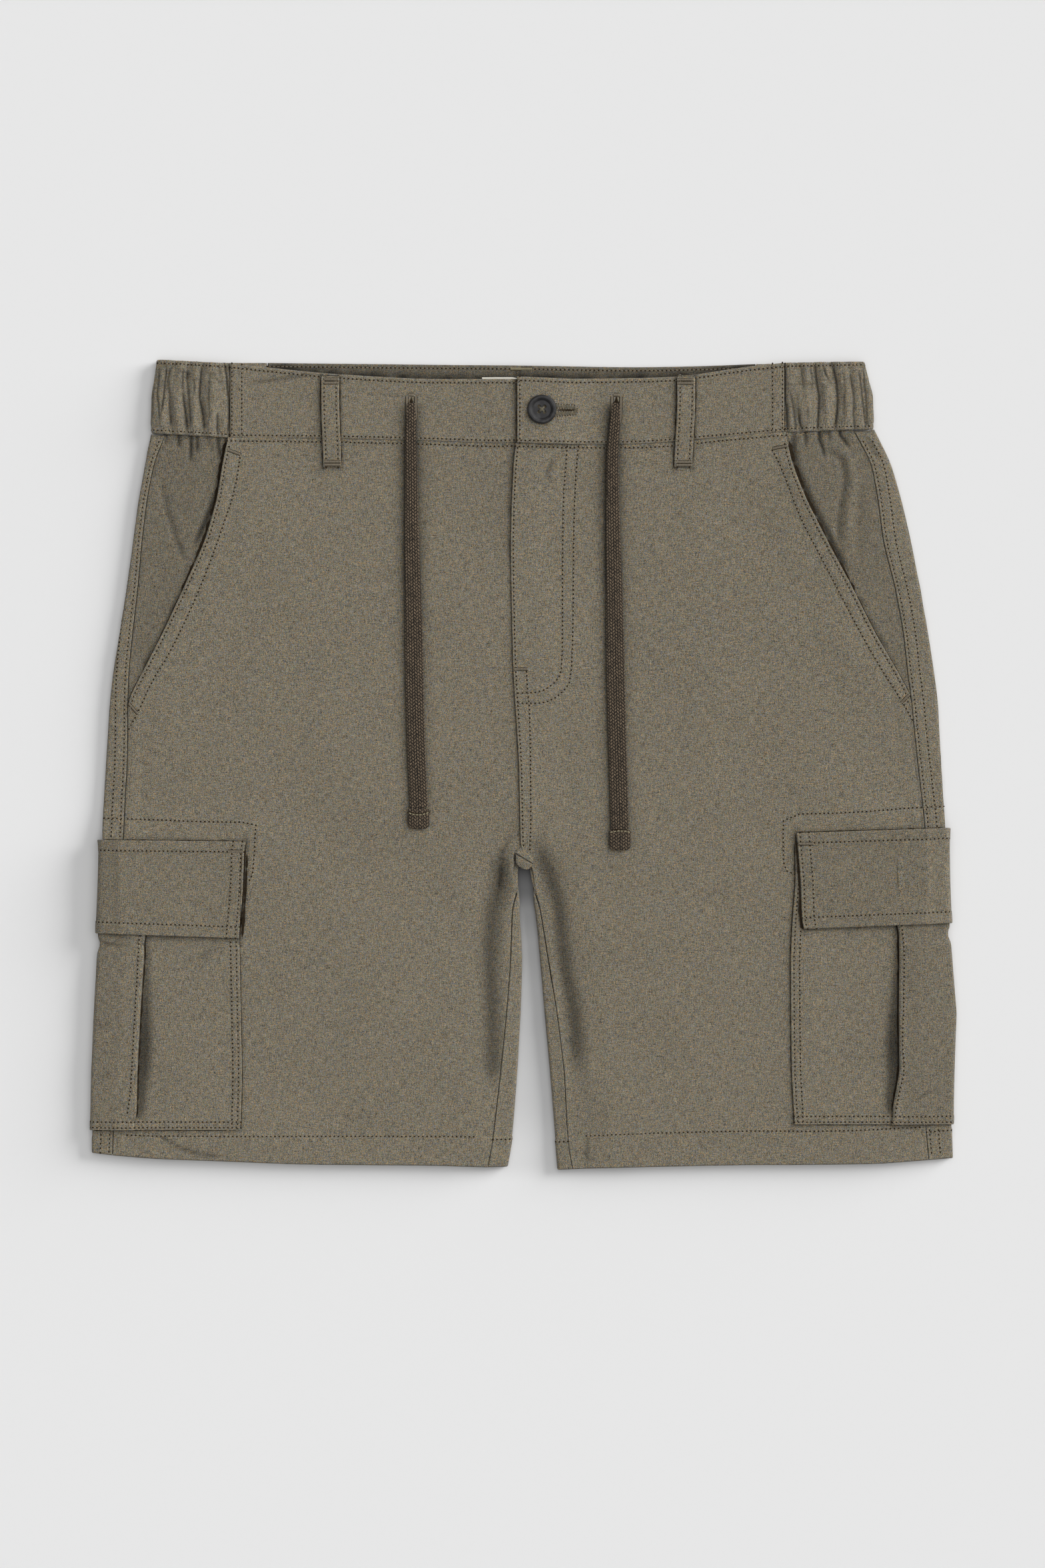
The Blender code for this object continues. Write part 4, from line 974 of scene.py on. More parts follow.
def beside_line(cloth, points):
    """How far each place is from a line in plan, and the way along the line to the nearest place on it."""
    x = cloth.flat[..., 0] / MM
    y = cloth.flat[..., 1] / MM
    nearest = np.full(x.shape, 1e9)
    place = np.zeros(x.shape)
    run = 0.0
    for (x0, y0), (x1, y1) in zip(points, points[1:]):
        length = math.hypot(x1 - x0, y1 - y0)
        share = np.clip(((x - x0) * (x1 - x0) + (y - y0) * (y1 - y0)) / length**2, 0, 1)
        gap = np.hypot(x - x0 - share * (x1 - x0), y - y0 - share * (y1 - y0))
        closer = gap < nearest
        nearest = np.where(closer, gap, nearest)
        place = np.where(closer, run + share * length, place)
        run += length
    return nearest, place, run


def crease(cloth, points, height, width, shade=0.0, taper=14.0, sharp=1.0, dark=1.0):
    """A ridge, or a trough where the height is below 0, along a line. taper is the length of its soft ends. A sharp
    one, below 1, has a narrow bottom. shade is painted shade that darkens its middle, over a share of its width
    that dark gives."""
    nearest, place, run = beside_line(cloth, points)
    taper = min(taper, run / 2)
    ends = soft(place, -taper * 0.2, taper) * soft(run - place, -taper * 0.2, taper)
    shown = ends * on_top(cloth)
    cloth.lift(height * shown * np.exp(-((nearest / width) ** (2 * sharp))))
    cloth.darken(shade * shown * bell(nearest, width * dark))


def outside(cloth, rim, offset, low, high):
    """The line in plan that runs just outside a rim, in millimetres, where the rim is on the top side."""
    distances = cloth.rims()[rim]
    edge, inner = cloth.line(distances, 0.0), cloth.line(distances, 1.0)
    out = unit(edge[:, :2] - inner[:, :2])
    key = edge[:, 1 if rim < 2 else 0] / MM
    shown = (edge[:, 2] > LAYER_SPLIT) & (edge[:, 5] > 0.3) & (key > low) & (key < high)
    return ((edge[:, :2] + out * offset * MM) / MM)[shown]


def shaded(under, cloth, rim, width, depth, low=-math.inf, high=math.inf):
    """Paints shadow on a piece beside the rim of one that lies on it, over a width, between two places along it."""
    plan = outside(cloth, rim, 0.0, low, high)
    if len(plan) < 3:
        return
    plan = plan[np.linspace(0, len(plan) - 1, min(len(plan), SHADE_POINTS)).astype(int)]
    nearest, _, _ = beside_line(under, plan)
    uneven = 0.85 + 0.15 * waves(under.flat[..., 0] / MM, under.flat[..., 1] / MM, 12, rim + 3)
    under.darken(depth * uneven * bell(nearest, width) * soft(under.facing[..., 2], 0.2, 0.6))


print("creases and shade ready")

# %% [markdown]
# ## Pleats and flaps
# A cargo pocket has an upright pleat. Its outer part stands over the inner one, and its fold edge is a puffed
# roll with painted shade below it, a dark line which opens a little halfway down. The flap above spans the
# pleat's step in one slope.

# %% Pleats and flaps
PLEAT_TOP = 8.0
PLEAT_ROLL = 0.5
PLEAT_OPEN = (-172, 38)
FLAP_TOP = 6.0


def tucked(cloth, towards, lip):
    """Puffs up the outer fold of a pleat and pushes its edge over the cloth beside it, on which it paints shade.
    Returns the edge's line in plan."""
    z = cloth.flat[..., 2] / MM
    above = z > PLEAT_TOP
    drop = above[:, :-1] & ~above[:, 1:]
    spot = drop.shape[1] - 1 - np.argmax(drop[:, ::-1], axis=1)
    row = np.arange(len(spot))
    from_fold = (cloth.first - cloth.first[row, spot][:, None]) / MM
    near = soft(cloth.lower / MM, 3, 12)
    cloth.face[..., 0] += towards * lip * bell(from_fold, 2.5) * near * MM
    cloth.face[..., 2] += PLEAT_ROLL * bell(from_fold + 2.0, 2.2) * near * MM
    reach = towards * cloth.face[..., 0] / MM
    edge = np.where(np.abs(from_fold) < 3, reach, -1e9).max(axis=1)
    seen = reach - edge[:, None]
    y = cloth.flat[..., 1] / MM
    broad = bell(y - PLEAT_OPEN[0], PLEAT_OPEN[1])
    below = (from_fold > 4.0) * soft(cloth.facing[..., 2], 0.2, 0.6) * soft(cloth.lower / MM, 4, 10)
    cloth.darken(0.80 * bell(seen - 0.2, 1.1) * below)
    beyond = np.maximum(seen - 1.0 - 3.4 * broad, 0)
    cloth.darken((0.42 + 0.34 * broad) * bell(beyond, 2.2 + 1.8 * broad) * below)
    return np.stack([(edge + 0.45) * towards, y[row, spot]], axis=1)[cloth.lower[row, spot] > 7 * MM]


def flattened(cloth, outer, inner, high, low):
    """Spreads a step in a piece's height evenly between two places across."""
    x, z = cloth.flat[..., 0], cloth.flat[..., 2]
    start, stop = sorted((outer, inner))
    heights = (high, low) if outer < inner else (low, high)
    even = np.interp(x / MM, (start, stop), heights) * MM
    span = soft(-np.abs(x / MM - (start + stop) / 2), -(stop - start) / 2 - 1, -(stop - start) / 2 + 3)
    upper = z > FLAP_TOP * MM
    cloth.face[..., 2] += np.where(upper, (even - z) * span, 0.0)


print("pleats and flaps ready")

# %% [markdown]
# ## Where the creases are
# Between the seams the cloth has creases, uneven in length, depth and spacing. The deepest run down from the
# crotch and along the pocket mouths. Others show where the cords press on the cloth, and the rows of height 0
# beside the cords are only painted shadow. Each is a line in plan with a height and a width, in millimetres, how
# much painted shade darkens its middle and how long its soft ends are. Ridges are above 0 and troughs below it.

# %% Where the creases are
CREASES = {
    "front_left": [
        ([(-7.5, -41), (-9.7, -46.2), (-12.6, -52.6), (-13.4, -60), (-14.2, -69), (-16.4, -84), (-18.5, -98)],
         -0.7, 2.2, 0.86, 30.0),
        ([(-12.5, -50), (-15.6, -73.2), (-18.9, -89.9), (-20.4, -109), (-19.7, -134.8), (-18.6, -163),
          (-19, -195)], -1.1, 5.4, 0.56),
        ([(-5.5, -46), (-8.0, -62), (-9.5, -80), (-12, -120)], 0.9, 3.0),
        ([(-226, -222), (-217, -226), (-208, -231.3), (-197, -235.0), (-178.7, -237.6)], -0.5, 0.9, 0.62),
        ([(-150, 150), (-120, 60), (-110, -20)], 0.5, 16),
        ([(-160, -20), (-90, -60), (-40, -75)], -0.5, 14),
        ([(-60, -90), (-90, -150), (-100, -215)], 0.6, 18),
        ([(-67.7, 200), (-67.6, 150), (-66.4, 75), (-65.8, 30), (-63.4, -40)], -0.9, 6.9, 0.46),
        ([(-68.2, 215), (-68.1, 150), (-67.3, 100)], 0.0, 6.4, 0.86),
        ([(-67.3, 125), (-66.2, 30), (-63.4, -38)], 0.0, 6.4, 0.68),
    ],
    "front_right": [
        ([(19.3, 188.6), (15.5, 178), (12.1, 168.5)], -0.6, 2.0, 0.35),
        ([(3.0, 190.5), (9.5, 192.5), (14, 190)], -0.4, 1.2, 0.30),
        ([(6.0, -40), (8.5, -48), (12.1, -60.3), (15.3, -68), (19.8, -83.4), (22.4, -102.7), (24.3, -122),
          (28.2, -141.2), (30.8, -160.5), (32, -190)], -1.8, 4.9, 0.55, 22.0),
        ([(6.5, -46), (9, -62), (13, -80), (17, -105), (20, -140)], 0.9, 3.0),
        ([(38.3, -222.5), (38.8, -246)], -0.5, 1.2, 0.50),
        ([(110, 160), (120, 80), (104, 0)], 0.5, 16),
        ([(150, -30), (90, -70), (40, -80)], -0.5, 14),
        ([(70, -100), (96, -160), (100, -215)], 0.6, 18),
        ([(54.4, 200), (53.9, 150), (55.2, 75), (56.2, 30), (58.2, -53)], -0.9, 6.9, 0.46),
        ([(53.2, 215), (53.0, 150), (54.2, 100)], 0.0, 6.6, 0.86),
        ([(54.2, 125), (55.4, 30), (57.9, -51)], 0.0, 6.4, 0.68),
    ],
    "hip_facing_left": [
        ([(-201.0, 216), (-201.0, 191.8), (-201.3, 181)], -1.2, 1.4, 0.88, 8.0),
        ([(-208.6, 212), (-208.3, 190)], -1.0, 1.3, 0.82, 5.0),
        ([(-197.4, 212), (-197.2, 187)], -1.0, 1.3, 0.82, 5.0),
        ([(-215.0, 212), (-216.5, 192)], -0.8, 1.2, 0.60, 5.0),
        ([(-194, 210), (-190.8, 197), (-186.8, 187)], -0.7, 1.6, 0.42, 7.0),
        ([(-187.0, 216), (-184.6, 196), (-182.5, 181)], -1.0, 1.5, 0.80, 8.0),
        ([(-178.0, 206), (-178.9, 195.7), (-181.1, 184.1), (-184.4, 166.9), (-192, 148), (-201, 128)],
         -1.2, 2.4, 0.80),
        ([(-194, 190), (-198, 168), (-203, 148)], 0.7, 4.0),
        ([(-219.0, 176), (-218.0, 166), (-214.4, 151.3), (-209.3, 134.8), (-203.1, 118.2)], -0.9, 2.4, 0.45),
    ],
    "hip_facing_right": [
        ([(165.0, 206), (163.4, 195.1), (164.6, 181.8), (173.7, 160.1), (184, 140), (198, 112)],
         -1.2, 2.4, 0.80),
        ([(178.9, 214), (179.4, 196.9), (181.6, 191), (183.0, 184)], -1.1, 1.4, 0.88, 6.0),
        ([(189.0, 214), (192.0, 199.5), (198.5, 191)], -1.0, 1.4, 0.86, 6.0),
        ([(181, 196), (186, 189), (192.5, 185), (195.0, 176), (193.5, 162), (191.0, 148), (191.0, 128)],
         -1.0, 2.4, 0.42),
        ([(170.6, 214), (171.1, 190)], -0.9, 1.2, 0.76, 5.0),
        ([(203.5, 212), (206.5, 193)], -0.9, 1.2, 0.72, 5.0),
        ([(184.6, 214), (185.4, 193)], -0.8, 1.1, 0.62, 5.0),
        ([(190, 193), (197.5, 184), (199, 172), (196.5, 156), (195, 132)], 1.1, 3.2),
        ([(203.5, 176), (203.0, 150), (202.0, 120)], -0.7, 3.0, 0.22),
    ],
    "back_left": [([(-214, 200), (-219, 188), (-222, 178)], -0.6, 1.4, 0.45)],
    "back_right": [([(206, 202), (211.1, 191.5), (216, 185)], -0.6, 1.4, 0.45)],
    "cargo_pocket_left": [
        ([(-202, -120), (-190, -113), (-179, -110)], -0.4, 2.0, 0.28),
        ([(-260, -107.5), (-236, -109.5)], -0.4, 1.0, 0.45),
        ([(-262, -186), (-247, -190)], -0.35, 2.2, 0.10),
    ],
    "cargo_pocket_right": [
        ([(229.0, -203.0), (243.0, -196.0), (256.3, -191.4)], 0.7, 1.8),
        ([(231.0, -205.5), (244.0, -198.6), (257.0, -194.0)], -0.5, 1.4, 0.40),
    ],
    "cargo_flap_right": [([(180, -55.5), (205, -57)], -0.35, 2.0, 0.10)],
    "waistband_front_left": [
        ([(-167.2, 230.9), (-145, 233.5), (-122.9, 237.0)], -0.5, 1.3, 0.35),
        ([(-96, 226), (-78, 223), (-60, 223.5)], -0.3, 1.5, 0.16),
        ([(-68.2, 222), (-68.1, 180)], 0.0, 6.0, 0.82, 8.0),
    ],
    "waistband_front_right": [([(54.2, 221), (53.4, 180)], 0.0, 6.3, 0.82, 8.0)],
}
print("creases", sum(map(len, CREASES.values())))

# %% [markdown]
# ## Cloth over cloth
# Wherever one piece ends on top of another, a soft painted shadow lies along its rim. A row of the table names the
# piece below, the piece on top and its rim, the shade's width and depth, and where it starts and stops if it
# doesn't follow the whole rim. Most of them are the same on the left and on the right.

# %% Cloth over cloth
SIDES = ("left", "right")
SHADED = [
    ("waistband_front_left", "waistband_front_right", 1, 2.6, 0.55),
    ("front_left", "front_right", 1, 1.6, 0.22, -48, 150),
    ("front_left", "front_right", 1, 2.6, 0.50, 130, 197),
    ("waistband_back", "waistband_front_left", 3, 3.6, 0.85),
    ("waistband_back", "waistband_front_right", 3, 3.6, 0.85),
    ("waistband_back", "waistband_elastic_right", 3, 2.0, 0.80),
    ("front_left", "cargo_pocket_left", 1, 1.6, 0.30),
    ("front_right", "cargo_pocket_right", 1, 1.6, 0.26),
]
SHADED_BOTH_SIDES = [
    ("hip_facing", "front", 0, 3.4, 0.55, 60, 197),
    ("hip_facing", "back", 0, 2.4, 0.38, -40, 190),
    ("front", "back", 0, 1.8, 0.35, -50, 60),
    ("front", "waistband_front", 2, 1.1, 0.15),
    ("hip_facing", "waistband_elastic", 2, 1.6, 0.40),
    ("back", "waistband_elastic", 2, 1.6, 0.40),
    ("waistband_elastic", "waistband_front", 0, 1.2, 0.50),
    ("front", "cargo_flap", 1, 2.4, 0.66),
    ("front", "cargo_flap", 3, 1.2, 0.40),
    ("cargo_pocket", "cargo_flap", 2, 2.2, 0.50),
    ("cargo_pocket", "cargo_flap", 1, 2.4, 0.66),
    ("front", "cargo_pocket", 2, 1.4, 0.22),
    ("back", "cargo_pocket", 2, 1.4, 0.22),
    ("front", "belt_loop", 0, 1.7, 0.55),
    ("front", "belt_loop", 1, 1.7, 0.55),
    ("waistband_front", "belt_loop", 0, 1.7, 0.55),
    ("waistband_front", "belt_loop", 1, 1.7, 0.55),
]
for side in SIDES:
    SHADED += [(f"{under}_{side}", f"{over}_{side}", *sizes) for under, over, *sizes in SHADED_BOTH_SIDES]
print("shaded rims", len(SHADED))

# %% [markdown]
# ## Shaping the pieces
# Now each piece gets its waves, its creases, the bulge beside a pocket's mouth, and a ridge and grooves along its
# seams. The row of the hem has a groove of its own, because it doesn't follow the rim quite evenly.

# %% Shaping the pieces
LEG_WAVES = ((0.35, 70, 25), (0.05, 14, 6))
POCKET_WAVES = ((0.18, 45, 12), (0.05, 12, 5))
WAVY = {"front": LEG_WAVES, "back": LEG_WAVES, "hip": LEG_WAVES, "cargo": POCKET_WAVES}
FLAP_SLOPES = {"cargo_flap_left": (-246, -178, 11.35, 8.15), "cargo_flap_right": (246, 176, 11.35, 8.15)}
MOUTH_BULGE = {"front_left": (158, 197, 1.1), "front_right": (150, 197, 1.2)}
BULGE_WIDTH = 6.5
SEAM_HEIGHTS = {"belt": 0.0}
SEAM_HEIGHT, HEM_HEIGHT = 0.25, 0.35
HEM_ROW_LEFT = -224.7
HEM_ROW_RIGHT = ([19.7, 38.3, 66.5, 135, 240], [-226.5, -224.5, -223.1, -221.2, -219.4])


def by_start(table, name, otherwise):
    """The entry of a table whose key the name starts with."""
    return next((entry for start, entry in table.items() if name.startswith(start)), otherwise)


for name, cloth in cloths.items():
    inside = np.minimum.reduce(cloth.rims()) / MM
    top = on_top(cloth)
    seed = sum(map(ord, name))
    x, y = cloth.flat[..., 0] / MM, cloth.flat[..., 1] / MM
    if name in FLAP_SLOPES:
        flattened(cloth, *FLAP_SLOPES[name])
    for k, (height, length, margin) in enumerate(by_start(WAVY, name, ())):
        cloth.lift(height * waves(x, y, length, seed + k) * top * soft(inside, 0, margin))
    for row in CREASES.get(name, []):
        crease(cloth, *row)
    if name in MOUTH_BULGE:
        low, high, height = MOUTH_BULGE[name]
        span = soft(y, low - 22, low) * (1 - soft(y, high - 5, high + 1))
        cloth.lift(height * span * bell(cloth.first / MM, BULGE_WIDTH) * top)
    for rim, stitches in enumerate(cloth.seams):
        if not stitches or stitches is HEM:
            continue
        facing_up = top if rim < 2 else 1.0
        cloth.lift(fell(cloth, rim, stitches, by_start(SEAM_HEIGHTS, name, SEAM_HEIGHT)) * facing_up)
        cloth.lift(drawn_in(cloth, rim, stitches[-1], 5.0, 0.09, 7.0, seed + rim) * facing_up)
    if cloth.seams[2] is HEM:
        from_row = np.where(x < 0, HEM_ROW_LEFT, np.interp(x, *HEM_ROW_RIGHT)) - y
        cloth.lift(HEM_HEIGHT * soft(from_row, -0.8, 0.6) - GROOVE * bell(from_row, GROOVE_WIDTH))
        cloth.lift(0.12 * waves(cloth.weave / MM, from_row * 0.3, 9, seed) * bell(from_row, 6) * top)
    print(name, "relief up to", round(float(np.abs(cloth.face - cloth.flat).max()) / MM, 2), "mm")

# %% [markdown]
# ## Small shifts
# A few pieces lie a little askew, as on real shorts. The legs come close together below the crotch, the belt
# loops lean, and the label's top edge sags at its left. These come before the shade, which follows the rims.

# %% Small shifts
CROTCH_SHIFTS = {"front_left": 2.6, "back_left": 2.6, "front_right": -1.5, "back_right": -1.5}
CROTCH_Y, CROTCH_SPREAD = -75, 9
LOOP_LEANS = {"belt_loop_left": (0.0, -1.2), "belt_loop_right": (-0.8, 0.9)}
LOOP_FOOT, LOOP_HEAD = 178, 222
LABEL_SAG, LABEL_LEAN = 0.6, 0.9

for name, shift in CROTCH_SHIFTS.items():
    x, y = cloths[name].flat[..., 0] / MM, cloths[name].flat[..., 1] / MM
    cloths[name].face[..., 0] += shift * bell(y - CROTCH_Y, CROTCH_SPREAD) * soft(-np.abs(x), -17, -8) * MM
for name, (foot, head) in LOOP_LEANS.items():
    share = soft(cloths[name].flat[..., 1] / MM, LOOP_FOOT, LOOP_HEAD)
    cloths[name].face[..., 0] += (foot * (1 - share) + head * share) * MM
label = cloths["label"]
label_edge = 1 - soft(label.upper / MM, 2, 8)
label.face[..., 1] -= (LABEL_SAG + LABEL_LEAN * soft(label.flat[..., 0] / MM, -6, -3)) * label_edge * MM
print("shifted", len(CROTCH_SHIFTS) + len(LOOP_LEANS) + 1, "pieces")

# %% [markdown]
# ## Shade and pleats
# The painted shade goes on, then the panels' upper edges go in under the waistband, and the pockets' pleats are
# formed. The cloth in the pocket mouths, on the flaps and outside the right pleat is painted a little darker, as
# shade.

# %% Shade and pleats
FACING_SHADE, FLAP_SHADE = 0.18, 0.07
PLEAT_SHADE, PLEAT_EDGE = 0.14, (229, 232)
BAND_TUCK, TUCK_REACH = 1.0, 2.5
PLEAT_LIP = 1.2

for side in SIDES:
    cloths["hip_facing_" + side].darken(FACING_SHADE)
    cloths["cargo_flap_" + side].darken(FLAP_SHADE)
for under, over, *sizes in SHADED:
    shaded(cloths[under], cloths[over], *sizes)
for cloth in (cloths[name + side] for name in ("front_", "hip_facing_") for side in SIDES):
    cloth.face[..., 1] += BAND_TUCK * (1 - soft(cloth.upper / MM, 0, TUCK_REACH)) * MM
pleats = {"cargo_pocket_" + side: tucked(cloths["cargo_pocket_" + side], towards, PLEAT_LIP)
          for side, towards in zip(SIDES, (1, -1))}
pocket = cloths["cargo_pocket_right"]
pocket.darken(PLEAT_SHADE * soft(pocket.flat[..., 0] / MM, *PLEAT_EDGE) * on_top(pocket))
print("pleats", {name: len(edge) for name, edge in pleats.items()})

# %% [markdown]
# ## Gathered elastic
# A flat elastic is sewn inside each side of the waistband while it is stretched. When it springs back, the cloth
# over it puffs up between narrow, sharp, upright folds of uneven strength, and its two edges, which are sewn
# down, ruck up finely. The table gives the width of one small ruck, and the folds as lines in plan.

# %% Folds of the elastic
STRONG, MEDIUM, FAINT = 1.0, 0.7, 0.4
GATHERS = {
    "waistband_elastic_left": (1.65, [
        (STRONG, [(-215.6, 243.2), (-216.7, 230.5), (-217.6, 222.2), (-218.9, 211.7)]),
        (MEDIUM, [(-211.5, 243.7), (-213.4, 238.8), (-214.8, 232.7), (-213.7, 223.3), (-213.7, 216.1),
                  (-212.9, 203)]),
        (MEDIUM, [(-205.4, 241.0), (-206.0, 224.9)]),
        (STRONG, [(-205.9, 228), (-204.3, 213.9), (-203.2, 200)]),
        (MEDIUM, [(-202.6, 242.6), (-203.2, 233.2), (-202.1, 219.4), (-201.3, 203.4)]),
        (STRONG, [(-193.8, 243.5), (-195.2, 231.6), (-195.5, 222.2), (-193.8, 211.1), (-193.2, 200)]),
        (FAINT, [(-183.9, 243.1), (-183.3, 234)]),
        (STRONG, [(-184.9, 214), (-184.7, 198)]),
        (STRONG, [(-180.8, 245.1), (-179.4, 234.9), (-178.3, 222.2), (-177.7, 213.9), (-178.6, 198)]),
        (FAINT, [(-222.5, 241.5), (-223.4, 233.2), (-224.2, 219.4), (-224.5, 206.2)]),
        (MEDIUM, [(-220.0, 242.1), (-221.4, 224.9), (-219.5, 206.2)]),
        (FAINT, [(-189.5, 238), (-190.3, 222), (-189.2, 208)]),
        (FAINT, [(-199.0, 236), (-198.6, 222)]),
    ]),
    "waistband_elastic_right": (1.45, [
        (STRONG, [(158.3, 243.0), (157.3, 228.9), (159.2, 215.6), (159.8, 200)]),
        (MEDIUM, [(161.2, 227), (164.0, 213.2), (165.2, 200)]),
        (FAINT, [(167.6, 243), (168.8, 233.8), (169.7, 226)]),
        (STRONG, [(166.2, 216), (167.0, 208.4), (168.8, 200)]),
        (FAINT, [(173.0, 243.0), (174.9, 235.0), (174.6, 225)]),
        (STRONG, [(176.1, 243.6), (177.3, 231.3), (178.8, 222.9), (178.5, 213.2), (177.9, 201)]),
        (STRONG, [(181.0, 243.6), (182.7, 236.8), (186.3, 230.5)]),
        (STRONG, [(186.6, 243.6), (189.0, 231.9), (190.0, 221.7), (189.7, 213.2), (188.4, 202)]),
        (MEDIUM, [(197.4, 238.0), (199.9, 222.9), (199.9, 210.8), (200.8, 201)]),
        (MEDIUM, [(203.0, 240), (205.0, 222.9), (206.3, 213.2), (207.8, 201)]),
        (MEDIUM, [(205.7, 243), (206.6, 228.9), (207.5, 221.7), (208.4, 203)]),
        (FAINT, [(193.8, 240), (194.5, 226), (193.6, 212)]),
        (FAINT, [(171.5, 220), (172.6, 206)]),
    ]),
}
print("elastics", {name: len(folds) for name, (_, folds) in GATHERS.items()})

# %% [markdown]
# The puffs are long waves that run up the band. The rucks are a fine, uneven sine along both of its edges. Each
# fold is a sharp crease whose bottom is painted dark, as shade.

# %% Gathered elastic
PUFF, PUFF_WAVES = 0.55, ((0.30, 0.22, 9), (0.12, 0.5, 5))
RUCK_HEIGHT = 0.22
FOLD_DEPTH, FOLD_WIDTH = 1.6, 1.7

for name, (ruck, folds) in GATHERS.items():
    cloth = cloths[name]
    x, y = cloth.weave / MM, cloth.flat[..., 1] / MM
    seed = sum(map(ord, name))
    inside = np.minimum(cloth.lower, cloth.upper) / MM
    around = 0.25 + 0.75 * on_top(cloth)
    puffed = PUFF
    for k, (height, upright, length) in enumerate(PUFF_WAVES):
        puffed = puffed + height * waves(x, y * upright, length, seed + 5 + k)
    cloth.lift(puffed * soft(inside, 0, 6) * around)
    swing = 1.4 * waves(x, y * 0.2, 20, seed + 4)
    rucked = np.sin(2 * math.pi * x / ruck + swing) * (0.7 + 0.3 * waves(x, y * 0, 6, seed + 7))
    cloth.lift(RUCK_HEIGHT * rucked * (1 - soft(inside, 3.0, 6.5)) * around)
    for strength, line in folds:
        shade = 0.25 + 0.55 * strength
        crease(cloth, line, -FOLD_DEPTH * strength, FOLD_WIDTH, shade, taper=6.0, sharp=0.62, dark=0.42)
    print(name, "gathered in", len(folds), "folds")

# %% [markdown]
# ## Making the cloth
# Each grid becomes a thin mesh with a lip turned under it. For each piece the loop works out how large it was
# cut: the width along its widest row, the usual length of its columns and its area, which nothing uses after.
# The label is a white cotton tape with a fine even rib.

# %% Making the cloth
LIPS = {"front": 9.0, "back": 9.0, "belt": 1.2}
LIP = 3.0
# Which rims of each piece are painted paler, as wear and as a painted highlight: first end, last end, lower rim,
# upper rim.
WORN_AND_LIT_RIMS = {
    "front_right": (True, True, True, False),
    "front": (True, False, True, False),
    "back": (True, False, True, False),
    "cargo_pocket": (False, True, True, False),
}
ALL_RIMS_WORN_AND_LIT = (True, True, True, True)


def tape_material():
    shader = Shader("cotton_tape", roughness=0.85, sheen=0.1, specular=0.2)
    place = shader.place()
    x, y, _ = shader.split(place)
    rib = x.wave(0.9 * MM) * 0.5 + y.wave(0.7 * MM) * 0.3
    lightness = 0.94 + rib * 0.05 + shader.noise(place, 700.0) * 0.08
    shader.set("Base Color", shader.tint(srgb(216, 212, 200), lightness))
    shader.bump(rib, 0.06 * MM, 0.6)
    return shader.material


def grid_area(points):
    """The area of a grid of points."""
    diagonals = np.cross(points[1:, 1:] - points[:-1, :-1], points[1:, :-1] - points[:-1, 1:])
    return float(np.linalg.norm(diagonals, axis=2).sum()) / 2


MATERIALS = {"waistband_back": shaded_inner_cloth, "label": tape_material()}
dressed = {}
for name, cloth in cloths.items():
    slot = "label" if name == "label" else "linen"
    worn_and_lit = by_start(WORN_AND_LIT_RIMS, name, ALL_RIMS_WORN_AND_LIT)
    made = make(cloth, MATERIALS.get(name, outer_cloth), by_start(LIPS, name, LIP), worn_and_lit)
    wide = float(np.linalg.norm(np.diff(cloth.flat, axis=1), axis=2).sum(axis=1).max())
    tall = float(np.median(np.linalg.norm(np.diff(cloth.flat, axis=0), axis=2).sum(axis=0)))
    area = min(grid_area(cloth.flat), wide * tall)
    dressed[name] = made

# %% [markdown]
# ## Laying a line on the cloth
# A line of stitches is either kept at one distance from a rim of its piece, which also carries it round the folds
# at the sides, or drawn in plan and dropped onto the cloth below it. A search tree of each mesh tells where a ray
# from above meets it.

# %% Laying a line on the cloth
SKY = 0.1


def surface_tree(made):
    """A search tree of a mesh's faces."""
    points = [vertex.co for vertex in made.data.vertices]
    return BVHTree.FromPolygons(points, [tuple(face.vertices) for face in made.data.polygons])


trees = {name: surface_tree(made) for name, made in dressed.items()}


def laid(plan, *names, spacing=0.7):
    """A line drawn in plan, in millimetres, laid onto the highest of some pieces."""
    line = rounded(np.array(plan, dtype=float) * MM, 1)
    length = along(line)[-1]
    spots = []
    for x, y in at(line, np.linspace(0, length, max(2, round(length / MM / spacing)))):
        hits = [trees[name].ray_cast(Vector((x, y, SKY)), Vector((0, 0, -1))) for name in names]
        hits = [hit for hit in hits if hit[0] is not None]
        if hits:
            place, facing, _, _ = max(hits, key=lambda hit: hit[0].z)
            facing = facing if facing.z > 0 else -facing
            spots.append((*place, *facing))
    return np.array(spots)


print("search trees", len(trees))

# %% [markdown]
# ## Threads
# Sewing thread is matt and a little lighter than the cloth, and each needle hole is a small disc painted dark, as
# the shade in the hole. Some of the sewing is in a khaki thread, and the buttonhole's is darker.


# %% Threads
def thread_material(name, colour):
    shader = Shader(name, roughness=0.7, sheen=0.2, specular=0.3)
    place = shader.place()
    strand = shader.noise(place, 1800.0, 1.0)
    shader.set("Base Color", shader.tint(colour, 0.7 + strand * 0.6))
    shader.bump(strand, 0.1 * MM, 0.5)
    return shader.material


def shade_pit_material():
    shader = Shader("painted_shade_pits", roughness=1.0, specular=0.0)
    place = shader.place()
    # Needle holes and gaps get this near black colour, as painted shade.
    shader.set("Base Color", shader.tint(srgb(45, 38, 29), 0.5 + shader.noise(place, 900.0)))
    return shader.material


thread = thread_material("sewing_thread", srgb(124, 114, 96))
pale_thread = thread_material("khaki_thread", srgb(138, 129, 100))
hole_thread = thread_material("buttonhole_thread", srgb(98, 91, 71))
shade_pits = shade_pit_material()
print("threads", thread.name, pale_thread.name, hole_thread.name)

# %% [markdown]
# ## Machine stitches
# Machine stitching shows as a row of short threads that dive into the cloth at both ends, with a small dark pit
# at each needle hole. Each thread is a small tube along five points. All the stitches of a piece are one mesh, so
# each of these functions returns the points and faces of its tubes and then those of its pits.

